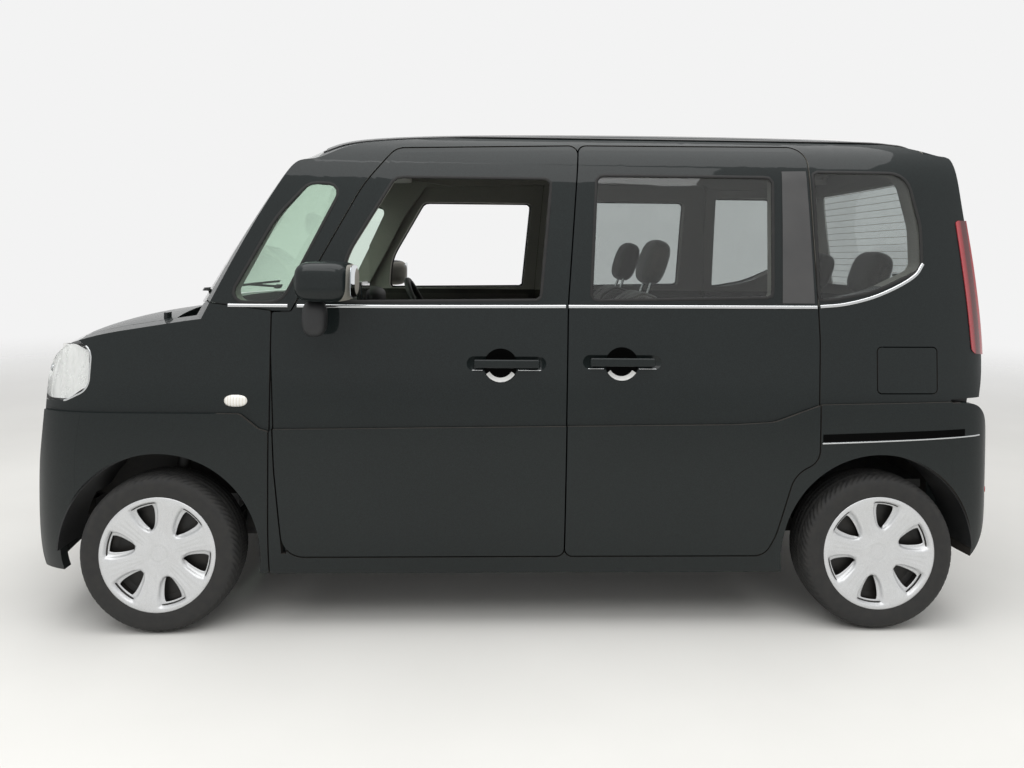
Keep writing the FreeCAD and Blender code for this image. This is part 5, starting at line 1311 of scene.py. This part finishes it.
# The camera: place in metres, yaw and roll in degrees, lens in pixels of a picture 1024 wide, and its shift
CAMERA_PLACE = (-0.098, -3.403, 1.275)
CAMERA_YAW, CAMERA_ROLL = -1.868, 0.531
LENS_PIXELS, PICTURE_WIDTH, SENSOR = 788.2, 1024, 36
CAMERA_SHIFT = -0.1224
FLOOR_HALF = 30.0


def build_world(sky):
    """Pale surroundings, plain where they are seen, mirrored or looked at through glass, and dimmer as light."""
    world = bpy.data.worlds.new("pale_surroundings")
    bpy.context.scene.world = world
    world.use_nodes = True
    tree = world.node_tree
    tree.nodes.clear()
    path = add(tree, "ShaderNodeLightPath")
    plain = add(tree, "ShaderNodeBackground", {"Color": linear("#F3F3F3"), "Strength": 1.0})
    dim = add(tree, "ShaderNodeBackground", {"Color": linear("#FFFFFF"), "Strength": sky})
    seen = path.outputs["Is Camera Ray"]
    for ray in ("Is Transmission Ray", "Is Glossy Ray"):
        seen = add(tree, "ShaderNodeMath", {0: seen, 1: path.outputs[ray]}, operation="MAXIMUM").outputs[0]
    mix = add(tree, "ShaderNodeMixShader", {0: seen, 1: dim.outputs[0], 2: plain.outputs[0]})
    add(tree, "ShaderNodeOutputWorld", {"Surface": mix.outputs[0]})


def build_stage(settings):
    """The surroundings, the floor, two soft lamps and the camera at the photograph's angle."""
    scene = bpy.context.scene
    scene.view_settings.view_transform = "Standard"
    build_world(settings.sky)
    floor = bpy.data.meshes.new("floor")
    corners = [(FLOOR_HALF * x, FLOOR_HALF * y, 0) for x, y in ((-1, -1), (1, -1), (1, 1), (-1, 1))]
    floor.from_pydata(corners, [], [(0, 1, 2, 3)])
    floor.materials.append(material("sealed_floor", studio_floor))
    piece = bpy.data.objects.new("floor", floor)
    scene.collection.objects.link(piece)
    soft_lamp("roof_light", (6.0, 4.0), settings.top_light, (0, -1.0, 4.6), (0, 0, 0.6))
    soft_lamp("side_light", (7.0, 2.2), settings.side_light, (-1.0, -5.0, 5.0), (0, 0, 0.8))
    data = bpy.data.cameras.new("photo_camera")
    data.lens = LENS_PIXELS / PICTURE_WIDTH * SENSOR
    data.sensor_width = SENSOR
    data.shift_y = CAMERA_SHIFT
    data.clip_end = 200
    camera = bpy.data.objects.new("photo_camera", data)
    scene.collection.objects.link(camera)
    turn = camera_turn(math.radians(CAMERA_YAW), math.radians(CAMERA_ROLL))
    camera.matrix_world = Matrix.Translation(CAMERA_PLACE) @ turn
    scene.camera = camera


class KEICAR_OT_stage(bpy.types.Operator):
    """Sets the pale floor, the soft lamps and the camera"""
    bl_idname = "keicar.stage"
    bl_label = "Stage"

    def execute(self, context):
        build_stage(context.scene.keicar_stage)
        return {"FINISHED"}


# The panel and what it lists
def colour(name, description, code):
    """A colour property whose default is an sRGB hex value."""
    return bpy.props.FloatVectorProperty(name=name, description=description, default=linear(code), size=4, min=0,
                                         max=1, subtype="COLOR")


def length(name, description, metres):
    """A length property in metres."""
    return bpy.props.FloatProperty(name=name, description=description, default=metres, min=0, unit="LENGTH")


class KeiCarColours(bpy.types.PropertyGroup):
    """Colours that a user would change"""
    paint_deep: colour("Paint, ground", "Ground colour of the pearl paint", "#0C1011")
    paint_pearl: colour("Paint, pearl", "Colour of the brightest flakes in the paint", "#171E1E")
    green_tint: colour("Front glass", "Tint of the windscreen and the front quarters", "#DCEBE0")
    dark_tint: colour("Rear glass", "Tint of the panes behind the front doors", "#CDD1D0")
    lamp_tint: colour("Headlamp lens", "Tint of the clear acrylic", "#F4F6F6")
    cover_shade: colour("Wheel cover, shade", "Darkest flake of the covers' lacquer", "#C4C6C8")
    cover_light: colour("Wheel cover, light", "Brightest flake of the covers' lacquer", "#DADBDC")
    # The darker cloth colour is painted shade between the threads
    cloth_painted_shade: colour("Seat cloth, dark", "Colour between the threads", "#2A2622")
    cloth_light: colour("Seat cloth, light", "Colour on top of the threads", "#4B443B")


class KeiCarSizes(bpy.types.PropertyGroup):
    """Sizes that a user would change"""
    belt_height: length("Belt moulding height", "Height of the bright strip under the windows", 0.013)
    belt_proud: length("Belt moulding depth", "How far the bright strip stands proud of the side", 0.0035)
    seal_height: length("Window seal width", "Width of the rubber round each side window", 0.012)
    plate_width: length("Plate width", "Width of the number plates", 0.330)
    plate_height: length("Plate height", "Height of the number plates", 0.165)
    cloth_swell: length("Cushion swell", "The most that a point of a cushion moves as it swells", 0.018)
    thread_pitch: bpy.props.FloatProperty(name="Thread pitch", description="Millimetres between the cloth's threads",
                                          default=2.4, min=0.1)


class KeiCarStage(bpy.types.PropertyGroup):
    """Light levels of the studio"""
    sky: bpy.props.FloatProperty(name="Sky", description="Strength of the light from all round", default=0.6, min=0)
    top_light: bpy.props.FloatProperty(name="Top light", description="Power of the lamp over the car",
                                       default=180.0, min=0, unit="POWER")
    side_light: bpy.props.FloatProperty(name="Side light", description="Power of the lamp beside the car",
                                        default=110.0, min=0, unit="POWER")


class KEICAR_PT_panel(bpy.types.Panel):
    """Lists what the car is made of, and the colours, sizes and light levels it is made with"""
    bl_idname = "KEICAR_PT_panel"
    bl_label = "Kei car"
    bl_space_type = "VIEW_3D"
    bl_region_type = "UI"
    bl_category = "Kei car"

    def draw(self, context):
        for step in STEPS:
            self.layout.operator(step.bl_idname)
        for name, group in GROUPS.items():
            for value in group.__annotations__:
                self.layout.prop(getattr(context.scene, name), value)


STEPS = (
    KEICAR_OT_finishes, KEICAR_OT_wheels, KEICAR_OT_side_trim, KEICAR_OT_cabin, KEICAR_OT_fittings, KEICAR_OT_stage,
)
GROUPS = {"keicar_colours": KeiCarColours, "keicar_sizes": KeiCarSizes, "keicar_stage": KeiCarStage}
CLASSES = (*GROUPS.values(), KEICAR_PT_panel, *STEPS)


def register():
    """Makes the classes and the groups of values known."""
    for kind in CLASSES:
        bpy.utils.register_class(kind)
    for name, group in GROUPS.items():
        setattr(bpy.types.Scene, name, bpy.props.PointerProperty(type=group))


def unregister():
    """Takes away what register made known."""
    for name in GROUPS:
        delattr(bpy.types.Scene, name)
    for kind in reversed(CLASSES):
        bpy.utils.unregister_class(kind)


def main():
    """Builds every group in turn."""
    register()
    for step in STEPS:
        group, name = step.bl_idname.split(".")
        getattr(getattr(bpy.ops, group), name)()


if __name__ == "__main__":
    main()
